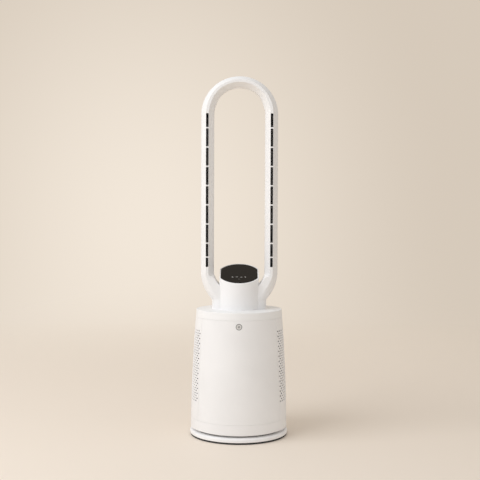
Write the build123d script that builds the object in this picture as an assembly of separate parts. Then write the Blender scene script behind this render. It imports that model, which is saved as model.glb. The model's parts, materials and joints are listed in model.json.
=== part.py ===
"""Bladeless tower fan with an air purifier body, in millimetres.

+Z is up, the front faces -Y, and the origin is on the floor under the middle of the base.
A round base carries a turning tower: a slightly conical body that holds the filter and the
blower, a neck with a slanted display, and a tall hoop that blows air from two rows of slots.
Azimuths are degrees from the front, positive towards +X.
"""

import os
from math import atan, cos, degrees, pi, radians, sin, sqrt

from build123d import *

os.makedirs("parts", exist_ok=True)

# ---------------------------------------------------------------- driving dimensions
TOTAL_HEIGHT = 1000.0

# base
BASE_RADIUS = 136.3
BASE_UNDERSIDE = 1.2
BASE_FLOOR = 4.0
BASE_RIM_BOTTOM = 5.0
PLINTH_RADIUS = 131.0
PLINTH_GAP = 0.4
BASE_TOP = 17.0
BASE_STEP_RADIUS = 116.5
BASE_STEP_TOP = 19.8
GEAR_PIT_RADIUS = 63.0
GEAR_PIT_FLOOR = 8.0
FOOT_RADIUS = 9.0
FOOT_CIRCLE = 112.0
FOOT_COUNT = 6

# turning joint
POST_RADIUS = 14.0
POST_BORE = 9.0
POST_TOP = 36.0
RUNNING_GAP = 0.05
RACE_RADIUS = 98.0
BALL_RADIUS = 3.0
BALL_COUNT = 12
GEAR_MODULE = 1.5
RING_TEETH = 72
PINION_TEETH = 12
GEAR_FLOOR = 9.0
GEAR_HEIGHT = 6.5
TOOTH_SHARE = 0.40
TOOTH_ADDENDUM = 0.75
TOOTH_DEDENDUM = 1.15

# body shell: its profile is one long arc from the skirt's lower edge to the deck's rim
BODY_BOTTOM = 24.0
BODY_BOTTOM_RADIUS = 134.3
BODY_TOP = 351.0
BODY_TOP_RADIUS = 119.3
BODY_CROWN = 3.0
SHELL_WALL = 2.6
LOWER_SEAM = 51.4
UPPER_SEAM = 330.0
SEAM_GAP = 0.3
PANEL_HALF_ANGLE = 56.0
PANEL_EDGE_GAP = 0.15
PAN_BOTTOM = 21.6
PAN_THICKNESS = 3.0
PAN_RADIUS = 122.0
PAN_FLANGE_RADIUS = 131.4
PAN_FLANGE_BOTTOM = 23.2
DUST_RING_BORE = 118.6
DUST_RING_BOTTOM = 18.3
RIM_FILLET = 1.6

# finger recess at the rear of the cover
RECESS_BOTTOM = 296.0
RECESS_TOP = 313.0
RECESS_ANGLE = 11.0
RECESS_DEPTH = 10.0

# grilles in the rear cover
GRILLE_START = 57.4
GRILLE_END = 128.0
GRILLE_BOTTOM = 100.0
GRILLE_TOP = 298.0
GRILLE_ROWS = 29
GRILLE_COLUMNS = 4
GRILLE_SLOT_HEIGHT = 3.6
GRILLE_WEB = 6.0

# inner frame, filter and blower
CHASSIS_FLOOR = 50.0
CHASSIS_WALL = 3.0
CHASSIS_RADIUS = 91.0
CHASSIS_FRONT_RADIUS = 113.0
CHASSIS_FRONT_ANGLE = 52.0
WING_ANGLE = 1.6
KEEPER_ANGLE = 0.6
MAGNET_ANGLE = 1.0
FLANGE_DEPTH = 7.0
FILTER_RADIUS = 88.0
FILTER_BORE = 64.0
FILTER_BOTTOM = 54.3
FILTER_TOP = 249.0
FILTER_CAP = 7.0
FILTER_PLEATS = 40
BULKHEAD = 253.0
THROAT_RADIUS = 60.0
HOUSING_RADIUS = 90.0
IMPELLER_BOTTOM = 262.0
IMPELLER_TOP = 297.0
IMPELLER_BLADES = 9
IMPELLER_GAP = 1.2
DIFFUSER_BOTTOM = 301.0
DIFFUSER_TOP = 326.0
DIFFUSER_VANES = 13
DIFFUSER_HUB = 58.0
SHAFT_RADIUS = 4.0
MOTOR_RADIUS = 34.0

# neck and display
NECK_HALF_WIDTH = 76.4
COLLAR_FRONT = -33.0
COLLAR_REAR = 44.0
COLLAR_TOP = 378.8
COLLAR_CORNER = 30.0
PARTITION = 405.0
COLUMN_RADIUS = 61.0
COLUMN_FLAT = 54.5
NECK_WALL = 2.6
DISPLAY_HEIGHT = 449.5
DISPLAY_SLOPE = 0.40
GLASS_MARGIN = 2.8
GLASS_THICKNESS = 2.5
GLASS_SINK = 0.5

# hoop: a racetrack whose section is a wedge with its nose to the front
HOOP_OUTER = 107.5
HOOP_INNER = 71.0
HOOP_NOSE = -30.0
HOOP_SHOULDER = -11.0
HOOP_BULGE = 2.0
HOOP_SIDE = 8.0
HOOP_FLANK = 24.0
HOOP_TAIL = 38.0
HOOP_BOTTOM_CENTRE = 454.0
HOOP_WALL = 2.4
HOOP_SPLIT = 1.0
NOSE_FLAT = 8.0
# height of each horizontal cut through a branch, and its inner face there
BRANCH_TOP = 454.0
BRANCH_STATIONS = (
    (454.0, 71.0), (451.0, 70.9), (448.0, 70.6), (445.0, 70.0), (439.0, 68.3), (431.0, 64.6),
    (423.0, 58.8), (415.0, 51.2), (405.0, 43.2), (395.0, 37.6), (386.0, 34.4), (380.0, 33.4),
    (374.0, 33.0),
)
BRANCH_TURN = 9.0
BRANCH_EDGE = 2.5
BRANCH_SETBACK = 0.15

# air slots, from the bottom of each row to its top
SLOT_WIDTH = 6.0
SLOT_RIB = 3.4
LIP_WALL = 0.5
LIP_FIT = 0.05
LIP_SINK = 0.3
SLOT_BOTTOM = 468.9
SLOT_TOP = 893.8
SLOT_RIBS_FIRST = 496.2
SLOT_RIBS_SECOND = 534.8
SLOT_RIB_PITCH = 53.15
SLOT_RIB_COUNT = 8

# indicator on the front panel
INDICATOR_HEIGHT = 313.5
INDICATOR_RADIUS = 8.5

# ---------------------------------------------------------------- derived dimensions
HOOP_CENTRE = (HOOP_OUTER + HOOP_INNER) / 2
HOOP_HALF = (HOOP_OUTER - HOOP_INNER) / 2
HOOP_TOP_CENTRE = TOTAL_HEIGHT - HOOP_OUTER
GEAR_CENTRES = GEAR_MODULE * (RING_TEETH - PINION_TEETH) / 2
PAN_TOP = PAN_BOTTOM + PAN_THICKNESS
SLOT_STOPS = (
    [SLOT_BOTTOM, SLOT_RIBS_FIRST]
    + [SLOT_RIBS_SECOND + i * SLOT_RIB_PITCH for i in range(SLOT_RIB_COUNT - 1)]
    + [SLOT_TOP]
)


# ---------------------------------------------------------------- helpers
def save(name, shape):
    """Writes one sub-part under its own name."""
    export_step(shape, f"parts/{name}.step")


def face_of(*points):
    """A flat face with straight sides through the points."""
    return make_face(Polyline(*points, close=True))


def turned(*points, arc=360, start=0):
    """A solid turned about Z from a straight-sided (radius, height) outline."""
    return spun(face_of(*points), arc, start)


def spun(face, arc=360, start=0):
    """Turns a (radius, height) face about Z, from an azimuth, through an arc."""
    solid = revolve(Plane.XZ * face, axis=Axis.Z, revolution_arc=arc)
    return Rot(0, 0, start - 90) * solid if arc < 360 else solid


def polar(radius, azimuth, height=0.0):
    """A point at an azimuth from the front."""
    a = radians(azimuth)
    return Pos(radius * sin(a), -radius * cos(a), height)


def disc(radius, bottom, top, bore=0.0):
    """A round plate about Z, with a bore if one is given."""
    outline = Circle(radius) - Circle(bore) if bore else Circle(radius)
    return Pos(0, 0, bottom) * extrude(outline, top - bottom)


def box_between(low, high):
    """A box from its lowest corner to its highest."""
    size = [b - a for a, b in zip(low, high)]
    return Pos(*low) * Box(*size, align=(Align.MIN, Align.MIN, Align.MIN))


def group(solids):
    """Several separate solids as one sub-part."""
    return Compound(children=[s for part in solids for s in part.solids()])


def body_arc():
    """Centre and radius of the long arc that the body's side follows."""
    chord_r = BODY_TOP_RADIUS - BODY_BOTTOM_RADIUS
    chord_z = BODY_TOP - BODY_BOTTOM
    chord = sqrt(chord_r**2 + chord_z**2)
    radius = (chord**2 / 4 + BODY_CROWN**2) / (2 * BODY_CROWN)
    inward = radius - BODY_CROWN
    centre_r = (BODY_TOP_RADIUS + BODY_BOTTOM_RADIUS) / 2 - inward * chord_z / chord
    centre_z = (BODY_TOP + BODY_BOTTOM) / 2 + inward * chord_r / chord
    return centre_r, centre_z, radius


def body_radius(z):
    """Outer radius of the body at a height."""
    centre_r, centre_z, radius = body_arc()
    return centre_r + sqrt(radius**2 - (z - centre_z) ** 2)


def side_edge(bottom, top, inset=0.0):
    """The body's curved side between two heights, moved in by an inset."""
    middle = (bottom + top) / 2
    return ThreePointArc(
        *[(body_radius(z) - inset, z) for z in (bottom, middle, top)]
    )


def shell_face(bottom, top, wall=SHELL_WALL, inset=0.0):
    """Section of a wall that follows the body's side."""
    outer = side_edge(bottom, top, inset)
    inner = side_edge(bottom, top, inset + wall)
    return make_face([outer, Line(outer @ 1, inner @ 1), inner, Line(inner @ 0, outer @ 0)])


# ---------------------------------------------------------------- base
def gear_tooth(pitch_radius, outward):
    """One straight-flanked tooth on +X; outward is -1 for an internal gear."""
    half = TOOTH_SHARE * pi * GEAR_MODULE / 2
    lean = 0.364 * GEAR_MODULE
    root = pitch_radius - outward * TOOTH_DEDENDUM * GEAR_MODULE
    tip = pitch_radius + outward * TOOTH_ADDENDUM * GEAR_MODULE
    sunk = root - outward * 1.0
    return face_of(
        (sunk, -half - lean * TOOTH_DEDENDUM),
        (root, -half - lean * TOOTH_DEDENDUM),
        (tip, -half + lean * TOOTH_ADDENDUM),
        (tip, half - lean * TOOTH_ADDENDUM),
        (root, half + lean * TOOTH_DEDENDUM),
        (sunk, half + lean * TOOTH_DEDENDUM),
    )


def ring_gear():
    """Fixed internal gear in the base; the drive pinion walks round inside it."""
    pitch = GEAR_MODULE * RING_TEETH / 2
    root = pitch + TOOTH_DEDENDUM * GEAR_MODULE
    outline = Circle(GEAR_PIT_RADIUS - 0.5) - Circle(root)
    step = 360 / RING_TEETH
    teeth = [Rot(0, 0, 90 + i * step) * gear_tooth(pitch, -1) for i in range(RING_TEETH)]
    outline += teeth
    return Pos(0, 0, GEAR_FLOOR) * extrude(outline, GEAR_HEIGHT)


def drive_pinion():
    """Small gear on the swing motor's shaft, in mesh behind the post."""
    pitch = GEAR_MODULE * PINION_TEETH / 2
    outline = Circle(pitch - TOOTH_DEDENDUM * GEAR_MODULE)
    step = 360 / PINION_TEETH
    teeth = [
        Rot(0, 0, 90 + (i + 0.5) * step) * gear_tooth(pitch, 1) for i in range(PINION_TEETH)
    ]
    outline += teeth
    gear = extrude(outline, GEAR_HEIGHT - 1)
    stem = Pos(0, 0, GEAR_HEIGHT - 1) * Cylinder(
        4.0, 20.0, align=(Align.CENTER, Align.CENTER, Align.MIN)
    )
    return Pos(0, GEAR_CENTRES, GEAR_FLOOR + 0.5) * (gear + stem)


def base_plate():
    """Moulded disc with a raised step, a ball track and a pit for the gears."""
    track_floor = PAN_BOTTOM - 2 * BALL_RADIUS - 2 * RUNNING_GAP
    body = turned(
        (POST_RADIUS, BASE_FLOOR),
        (PLINTH_RADIUS, BASE_FLOOR),
        (PLINTH_RADIUS + 1, BASE_RIM_BOTTOM),
        (BASE_RADIUS - 1.4, BASE_RIM_BOTTOM),
        (BASE_RADIUS - 0.4, BASE_RIM_BOTTOM + 0.4),
        (BASE_RADIUS, BASE_RIM_BOTTOM + 1.4),
        (BASE_RADIUS, BASE_TOP - 5),
        (BASE_RADIUS - 1.0, BASE_TOP - 2.2),
        (BASE_RADIUS - 3.6, BASE_TOP - 0.4),
        (BASE_STEP_RADIUS + 1.6, BASE_TOP + 0.6),
        (BASE_STEP_RADIUS, BASE_STEP_TOP),
        (RACE_RADIUS + 9, BASE_STEP_TOP),
        (RACE_RADIUS + 9, BASE_TOP),
        (RACE_RADIUS + 3.4, BASE_TOP),
        (RACE_RADIUS + 3.4, track_floor),
        (RACE_RADIUS - 3.4, track_floor),
        (RACE_RADIUS - 3.4, BASE_TOP),
        (GEAR_PIT_RADIUS, BASE_TOP),
        (GEAR_PIT_RADIUS, GEAR_PIT_FLOOR),
        (POST_RADIUS, GEAR_PIT_FLOOR),
    )
    for i in range(FOOT_COUNT):
        body -= polar(FOOT_CIRCLE, 30 + 60 * i, BASE_FLOOR) * Cylinder(2.2, 12)
    return body


def base_cover():
    """Dark plinth plate that closes the underside of the base and lifts its rim off the floor."""
    outside = PLINTH_RADIUS - PLINTH_GAP
    cover = turned(
        (POST_BORE, BASE_UNDERSIDE),
        (outside - 0.8, BASE_UNDERSIDE),
        (outside, BASE_UNDERSIDE + 0.8),
        (outside, BASE_FLOOR),
        (POST_BORE, BASE_FLOOR),
    )
    for i in range(FOOT_COUNT):
        cover -= polar(FOOT_CIRCLE, 30 + 60 * i, BASE_UNDERSIDE + 1) * Cylinder(2.2, 8)
    return cover


def rubber_foot():
    """A button foot with a stem that plugs into the base."""
    return turned(
        (0, 0),
        (FOOT_RADIUS - 1.2, 0),
        (FOOT_RADIUS, 0.8),
        (FOOT_RADIUS, BASE_UNDERSIDE),
        (2.2, BASE_UNDERSIDE),
        (2.2, BASE_FLOOR + 3),
        (0, BASE_FLOOR + 3),
    )


def pivot_post():
    """Hollow post that the tower turns on, with the supply lead's way through it."""
    return turned(
        (POST_BORE, BASE_FLOOR),
        (POST_RADIUS, BASE_FLOOR),
        (POST_RADIUS, POST_TOP - 4),
        (POST_RADIUS - 1.4, POST_TOP - 4),
        (POST_RADIUS - 1.4, POST_TOP - 2),
        (POST_RADIUS, POST_TOP - 2),
        (POST_RADIUS - 1, POST_TOP),
        (POST_BORE, POST_TOP),
    )


def retaining_ring():
    """Split ring in the post's groove, which keeps the tower down."""
    groove = POST_TOP - 4
    ring = disc(POST_RADIUS + 3.5, groove, groove + 2, bore=POST_RADIUS - 1.4)
    return ring - box_between((-2.5, -30, groove - 1), (2.5, 0, groove + 3))


def make_base():
    """Every piece that stays still on the floor."""
    save("base_plate", base_plate())
    save("base_cover", base_cover())
    feet = [polar(FOOT_CIRCLE, 30 + 60 * i) * rubber_foot() for i in range(FOOT_COUNT)]
    save("rubber_feet", group(feet))
    save("ring_gear", ring_gear() + disc(GEAR_PIT_RADIUS - 0.5, GEAR_PIT_FLOOR, GEAR_FLOOR,
                                         bore=GEAR_PIT_RADIUS - 6))
    save("pivot_post", pivot_post())
    save("retaining_ring", retaining_ring())


def make_swing_drive():
    """Ball cage between base and tower, and the pinion that swings the tower."""
    ball_height = PAN_BOTTOM - RUNNING_GAP - BALL_RADIUS
    cage = disc(RACE_RADIUS + 5.5, BASE_TOP + 0.5, BASE_TOP + 3.3, bore=RACE_RADIUS - 5.5)
    places = [polar(RACE_RADIUS, i * 360 / BALL_COUNT, ball_height) for i in range(BALL_COUNT)]
    for place in places:
        cage -= place * Cylinder(BALL_RADIUS + 0.25, 12)
    save("ball_cage", cage)
    save("bearing_balls", group([place * Sphere(BALL_RADIUS) for place in places]))
    save("drive_pinion", drive_pinion())


# ---------------------------------------------------------------- tower floor and skirt
def tower_pan():
    """Turning floor of the tower, with a hub that runs on the post."""
    hub_top = POST_TOP - 4
    bore = POST_RADIUS + RUNNING_GAP
    pan = turned(
        (bore, PAN_BOTTOM),
        (PAN_RADIUS, PAN_BOTTOM),
        (PAN_RADIUS, PAN_FLANGE_BOTTOM),
        (PAN_FLANGE_RADIUS, PAN_FLANGE_BOTTOM),
        (PAN_FLANGE_RADIUS, PAN_TOP),
        (bore + 5, PAN_TOP),
        (bore + 5, hub_top - RUNNING_GAP),
        (bore, hub_top - RUNNING_GAP),
    )
    return pan - Pos(0, GEAR_CENTRES, PAN_BOTTOM) * Cylinder(6.0, 12)


def lower_skirt():
    """Plain band between the floor and the lower seam, with a lip behind the front panel."""
    top = LOWER_SEAM - SEAM_GAP / 2
    outer = side_edge(BODY_BOTTOM, top)
    inner = side_edge(PAN_TOP, top, SHELL_WALL)
    low_edge = (PAN_FLANGE_RADIUS, PAN_FLANGE_BOTTOM)
    section = make_face(
        [
            Line(low_edge, outer @ 0),
            outer,
            Line(outer @ 1, inner @ 1),
            inner,
            Line(inner @ 0, (PAN_FLANGE_RADIUS, PAN_TOP)),
            Line((PAN_FLANGE_RADIUS, PAN_TOP), low_edge),
        ]
    )
    lip_angle = PANEL_HALF_ANGLE - 4
    lip = spun(
        shell_face(top - 8, top + 7, 2.2, SHELL_WALL), 2 * lip_angle, -lip_angle
    )
    skirt = spun(section) + lip
    return skirt - inlet_hole(0.0)


def inlet_hole(gap):
    """Space that the power inlet fills in the rear of the skirt."""
    return Pos(0, BODY_BOTTOM_RADIUS, 38) * Rot(90, 0, 0) * Cylinder(6.5 + gap, 40)


def power_inlet():
    """Round low-voltage socket, flush with the skirt at the rear."""
    face = body_radius(38)
    turned_body = Cylinder(6.5, 14, align=(Align.CENTER, Align.CENTER, Align.MIN))
    collar = Pos(0, 0, 3.2) * Cylinder(9, 2, align=(Align.CENTER, Align.CENTER, Align.MIN))
    socket = Cylinder(2.85, 9.5, align=(Align.CENTER, Align.CENTER, Align.MIN))
    pin = Cylinder(1.0, 9.5, align=(Align.CENTER, Align.CENTER, Align.MIN))
    inlet = turned_body + collar - socket + pin
    return Pos(0, face - 0.15, 38) * Rot(90, 0, 0) * inlet


def swing_motor():
    """Geared synchronous motor that stands on the floor over the pinion."""
    can = Cylinder(25, 15, align=(Align.CENTER, Align.CENTER, Align.MIN))
    feet = Pos(0, 0, 0.75) * Box(70, 12, 1.5) - Pos(30, 0, 0) * Cylinder(2.1, 6)
    feet -= Pos(-30, 0, 0) * Cylinder(2.1, 6)
    boss = Pos(0, 0, -1.4) * Cylinder(5.4, 1.4, align=(Align.CENTER, Align.CENTER, Align.MIN))
    bore = Cylinder(4.0 + RUNNING_GAP, 30)
    return Pos(0, GEAR_CENTRES, PAN_TOP) * (can + feet + boss - bore)


def main_board():
    """Control board over the floor, on four pillars, with its larger components."""
    board = box_between((-58, -104, 34), (58, -36, 35.6))
    for x in (-52, 52):
        for y in (-98, -42):
            board += Pos(x, y, PAN_TOP) * Cylinder(3, 34 - PAN_TOP,
                                                   align=(Align.CENTER, Align.CENTER, Align.MIN))
    for x, y, r, h in ((-36, -84, 5, 11), (-22, -84, 5, 11), (-36, -64, 7, 12)):
        board += Pos(x, y, 35.6) * Cylinder(r, h, align=(Align.CENTER, Align.CENTER, Align.MIN))
    board += box_between((4, -92, 35.6), (30, -66, 40.6))
    board += box_between((-8, -50, 35.6), (44, -42, 43.6))
    return board


# ---------------------------------------------------------------- inner frame
def wing_face():
    """Section of a wing that reaches from the inner wall to just behind the front panel."""
    low, high = CHASSIS_FLOOR + 10, UPPER_SEAM - 12
    inner = CHASSIS_FRONT_RADIUS - CHASSIS_WALL
    reach = SHELL_WALL + 0.6
    return face_of(
        (inner, low),
        (body_radius(low) - reach, low),
        (body_radius(high) - reach, high),
        (inner, high),
    )


def chassis():
    """Inner frame: legs, filter floor, curved front wall and posts, open to the rear."""
    floor = disc(CHASSIS_RADIUS, CHASSIS_FLOOR, CHASSIS_FLOOR + 4)
    wall_arc = 2 * CHASSIS_FRONT_ANGLE
    outer = CHASSIS_FRONT_RADIUS
    wall = turned(
        (outer - CHASSIS_WALL, CHASSIS_FLOOR),
        (outer, CHASSIS_FLOOR),
        (outer, UPPER_SEAM - 12),
        (outer - CHASSIS_WALL, UPPER_SEAM - 12),
        arc=wall_arc,
        start=-CHASSIS_FRONT_ANGLE,
    )
    shelf = turned(
        (CHASSIS_RADIUS - 6, CHASSIS_FLOOR),
        (outer - 1, CHASSIS_FLOOR),
        (outer - 1, CHASSIS_FLOOR + 4),
        (CHASSIS_RADIUS - 6, CHASSIS_FLOOR + 4),
        arc=wall_arc,
        start=-CHASSIS_FRONT_ANGLE,
    )
    upper = shelf.moved(Pos(0, 0, BULKHEAD - CHASSIS_FLOOR - 4))
    upper -= disc(HOUSING_RADIUS + 0.1, BULKHEAD - 6, BULKHEAD + 6)
    frame = floor + wall + shelf + upper
    for azimuth in (-75, 75, 135, 225):
        frame += polar(82, azimuth, PAN_TOP) * Cylinder(
            6, CHASSIS_FLOOR - PAN_TOP, align=(Align.CENTER, Align.CENTER, Align.MIN)
        )
    for azimuth in (-40, 40):
        frame += polar(outer - 8, azimuth, PAN_TOP) * Cylinder(
            5, CHASSIS_FLOOR - PAN_TOP, align=(Align.CENTER, Align.CENTER, Align.MIN)
        )
    for start in (CHASSIS_FRONT_ANGLE, -CHASSIS_FRONT_ANGLE - WING_ANGLE):
        frame += spun(wing_face(), WING_ANGLE, start)
    sensor_bore = Pos(0, -outer, INDICATOR_HEIGHT) * Rot(90, 0, 0) * Cylinder(6.0, 30)
    return frame - sensor_bore


def catch_pads(start, arc, depth):
    """Four pads near the body's side, at the two heights where the cover is held."""
    pads = []
    for z in (90, 290):
        outer = body_radius(z + 8) - SHELL_WALL - 1.0
        pad = ((outer - depth, z - 8), (outer, z - 8), (outer, z + 8), (outer - depth, z + 8))
        pads.append(turned(*pad, arc=arc, start=start))
        pads.append(turned(*pad, arc=arc, start=-start - arc))
    return group(pads)


# ---------------------------------------------------------------- filter
def filter_media():
    """Pleated sleeve: a star-shaped ring with one fold for each pleat."""
    outer, inner = FILTER_RADIUS - 2.5, FILTER_BORE + 2.2
    thickness = 2.2
    step = 2 * pi / FILTER_PLEATS

    def star(shift):
        points = []
        for i in range(FILTER_PLEATS):
            points.append(((outer + shift) * cos(i * step), (outer + shift) * sin(i * step)))
            half = (i + 0.5) * step
            points.append(((inner + shift) * cos(half), (inner + shift) * sin(half)))
        return face_of(*points)

    ring = star(0) - star(-thickness)
    bottom = FILTER_BOTTOM + FILTER_CAP
    return Pos(0, 0, bottom) * extrude(ring, FILTER_TOP - FILTER_CAP - bottom)


def filter_core():
    """Perforated tube that holds the pleats open."""
    bottom, top = FILTER_BOTTOM + FILTER_CAP, FILTER_TOP - FILTER_CAP
    tube = disc(FILTER_BORE, bottom, top, bore=FILTER_BORE - 1.6)
    windows = []
    for row in range(5):
        for column in range(6):
            height = bottom + 19 + row * 36
            windows.append(
                polar(FILTER_BORE, column * 60 + row % 2 * 30, height)
                * Rot(0, 0, column * 60 + row % 2 * 30)
                * Box(36, 24, 26)
            )
    return tube - windows


def filter_cap(bottom):
    """Moulded end ring that seals the pleats."""
    return disc(FILTER_RADIUS, bottom, bottom + FILTER_CAP, bore=FILTER_BORE - 6)


def pull_tab():
    """Loop on the rear of the band that the filter is drawn out by."""
    rear = FILTER_RADIUS - 1
    loop = box_between((-11, rear - 2, 142), (11, rear + 3, 166))
    loop -= box_between((-7, rear + 0.8, 140), (7, rear + 1.9, 170))
    return loop - disc(rear, 140, 170)


def make_filter():
    """The filter cartridge, which draws out to the rear."""
    save("filter_media", filter_media())
    save("filter_core", filter_core())
    save("filter_cap_lower", filter_cap(FILTER_BOTTOM))
    save("filter_cap_upper", filter_cap(FILTER_TOP - FILTER_CAP))
    save("filter_band", disc(FILTER_RADIUS - 1, 135, 172, bore=FILTER_RADIUS - 2.5))
    save("filter_pull_tab", pull_tab())


# ---------------------------------------------------------------- blower
def housing_line(inset=0.0):
    """Blower wall from the throat, out along the impeller, to the top of the diffuser."""
    return [
        (THROAT_RADIUS + 4 - inset, IMPELLER_BOTTOM),
        (THROAT_RADIUS + 12 - inset, IMPELLER_BOTTOM + 16),
        (HOUSING_RADIUS - 6 - inset, IMPELLER_TOP),
        (HOUSING_RADIUS - 4 - inset, DIFFUSER_BOTTOM),
    ]


def fan_housing():
    """Bulkhead with a rounded inlet throat and the wall round the impeller."""
    wall = 2.4
    inner = housing_line()
    outer = [(r + wall, z) for r, z in housing_line()]
    throat = turned(
        (THROAT_RADIUS + 8, BULKHEAD),
        (HOUSING_RADIUS, BULKHEAD),
        (HOUSING_RADIUS, BULKHEAD + 7),
        (HOUSING_RADIUS - 2.4, BULKHEAD + 7),
        (HOUSING_RADIUS - 2.4, BULKHEAD + 3),
        (THROAT_RADIUS + 6, BULKHEAD + 3),
        outer[0],
        inner[0],
        (THROAT_RADIUS, BULKHEAD + 5),
        (THROAT_RADIUS + 1.5, BULKHEAD + 1.5),
        (THROAT_RADIUS + 4, BULKHEAD + 0.4),
    )
    shroud = turned(*inner, (HOUSING_RADIUS - 4, UPPER_SEAM - 1), (HOUSING_RADIUS, UPPER_SEAM - 1),
                    (HOUSING_RADIUS, DIFFUSER_BOTTOM - 6), *outer[1::-1])
    lug_bottom = BULKHEAD + 4
    lug = turned(
        (HOUSING_RADIUS - 1, lug_bottom),
        (HOUSING_RADIUS + 14, lug_bottom),
        (HOUSING_RADIUS + 14, lug_bottom + 3),
        (HOUSING_RADIUS - 1, lug_bottom + 3),
        arc=90,
        start=-45,
    )
    return throat + shroud + lug


def impeller_passage():
    """Meridional outline of the blades, between the hub cone and the housing."""
    line = housing_line(IMPELLER_GAP)[:3]
    return face_of((16, IMPELLER_BOTTOM), *line, (54, IMPELLER_TOP), (30, IMPELLER_TOP))


def impeller():
    """Mixed-flow impeller: a hollow cone with swept blades."""
    hub = turned(
        (SHAFT_RADIUS, IMPELLER_BOTTOM - 2),
        (12, IMPELLER_BOTTOM - 2),
        (18, IMPELLER_BOTTOM + 3),
        (26, IMPELLER_BOTTOM + 13),
        (40, IMPELLER_BOTTOM + 24),
        (56, IMPELLER_TOP),
        (52, IMPELLER_TOP),
        (36, IMPELLER_BOTTOM + 25),
        (22, IMPELLER_BOTTOM + 15),
        (12, IMPELLER_BOTTOM + 9),
        (11, IMPELLER_TOP - 4),
        (SHAFT_RADIUS, IMPELLER_TOP - 4),
    )
    inner = ThreePointArc((13, 0), (44, 17), (88, 2))
    outer = ThreePointArc((88, 3.8), (44, 18.8), (13, 2.0))
    plan = make_face([inner, Line(inner @ 1, outer @ 0), outer, Line(outer @ 1, inner @ 0)])
    sheet = Pos(0, 0, IMPELLER_BOTTOM - 2) * extrude(plan, IMPELLER_TOP - IMPELLER_BOTTOM + 4)
    void = turned(
        (0, IMPELLER_BOTTOM + 9),
        (22, IMPELLER_BOTTOM + 15),
        (36, IMPELLER_BOTTOM + 25),
        (52, IMPELLER_TOP),
        (52, IMPELLER_TOP + 3),
        (0, IMPELLER_TOP + 3),
    )
    blade = sheet & (spun(impeller_passage())) - void
    step = 360 / IMPELLER_BLADES
    for i in range(IMPELLER_BLADES):
        hub += Rot(0, 0, i * step) * blade
    return hub


def diffuser():
    """Fixed vanes that straighten the air, round the motor's cup."""
    cup = turned(
        (MOTOR_RADIUS + 1, DIFFUSER_BOTTOM + 2),
        (MOTOR_RADIUS + 3.5, DIFFUSER_BOTTOM + 2),
        (MOTOR_RADIUS + 3.5, DIFFUSER_TOP - 0.5),
        (DIFFUSER_HUB - 2.5, DIFFUSER_TOP - 0.5),
        (DIFFUSER_HUB - 2.5, DIFFUSER_BOTTOM),
        (DIFFUSER_HUB, DIFFUSER_BOTTOM),
        (DIFFUSER_HUB, DIFFUSER_TOP),
        (DIFFUSER_HUB - 3, DIFFUSER_TOP + 2),
        (MOTOR_RADIUS + 1, DIFFUSER_TOP + 2),
    )
    vane = Pos(0, 0, (DIFFUSER_BOTTOM + DIFFUSER_TOP) / 2) * Rot(24, 0, 0) * Box(
        HOUSING_RADIUS - DIFFUSER_HUB - 1, 2.0, 24
    )
    vane = Pos((HOUSING_RADIUS + DIFFUSER_HUB) / 2 - 2, 0, 0) * vane
    inside = disc(HOUSING_RADIUS - 4, DIFFUSER_BOTTOM, DIFFUSER_TOP)
    vane = vane & inside
    step = 360 / DIFFUSER_VANES
    for i in range(DIFFUSER_VANES):
        cup += Rot(0, 0, i * step) * vane
    return cup


def fan_motor():
    """Brushless motor with a stepped can and a bore for the shaft."""
    return turned(
        (SHAFT_RADIUS + RUNNING_GAP, IMPELLER_TOP + 1),
        (14, IMPELLER_TOP + 1),
        (15, DIFFUSER_BOTTOM + 1),
        (MOTOR_RADIUS - 4, DIFFUSER_BOTTOM + 2),
        (MOTOR_RADIUS - 2, DIFFUSER_BOTTOM + 4),
        (MOTOR_RADIUS - 2, DIFFUSER_TOP - 2),
        (MOTOR_RADIUS - 6, DIFFUSER_TOP + 1),
        (SHAFT_RADIUS + RUNNING_GAP, DIFFUSER_TOP + 1),
    )


def motor_sleeve():
    """Rubber sleeve that seats the motor in its cup and takes up its hum."""
    return disc(MOTOR_RADIUS + 1, DIFFUSER_BOTTOM + 6, DIFFUSER_TOP - 3, bore=MOTOR_RADIUS - 2)


def make_blower():
    """Housing, diffuser and motor in the tower, and the spinning impeller."""
    save("fan_housing", fan_housing())
    save("filter_gasket", disc(82, FILTER_TOP + 0.5, BULKHEAD, bore=72))
    save("diffuser", diffuser())
    save("fan_motor", fan_motor())
    save("motor_sleeve", motor_sleeve())
    save("impeller", impeller())
    save("impeller_shaft", disc(SHAFT_RADIUS, IMPELLER_BOTTOM - 9, DIFFUSER_TOP + 1))
    nut = extrude(RegularPolygon(7, 6) - Circle(SHAFT_RADIUS), 5)
    save("impeller_nut", Pos(0, 0, IMPELLER_BOTTOM - 7) * nut)


# ---------------------------------------------------------------- outer covers
def front_panel():
    """Smooth front of the body, between the seams and the edges of the rear cover."""
    half = PANEL_HALF_ANGLE - PANEL_EDGE_GAP
    section = shell_face(LOWER_SEAM + SEAM_GAP / 2, UPPER_SEAM - SEAM_GAP / 2)
    panel = spun(section, 2 * half, -half)
    for azimuth in (-38, 0, 38):
        for z in (80, 190, 280):
            reach = body_radius(z) - SHELL_WALL / 2 - CHASSIS_FRONT_RADIUS
            boss = Rot(0, 0, azimuth) * Pos(0, -CHASSIS_FRONT_RADIUS - reach / 2, z)
            panel += boss * Rot(90, 0, 0) * Cylinder(3.5, reach)
    hole = Pos(0, -body_radius(INDICATOR_HEIGHT), INDICATOR_HEIGHT) * Rot(90, 0, 0)
    return panel - hole * Cylinder(INDICATOR_RADIUS, 20)


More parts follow.
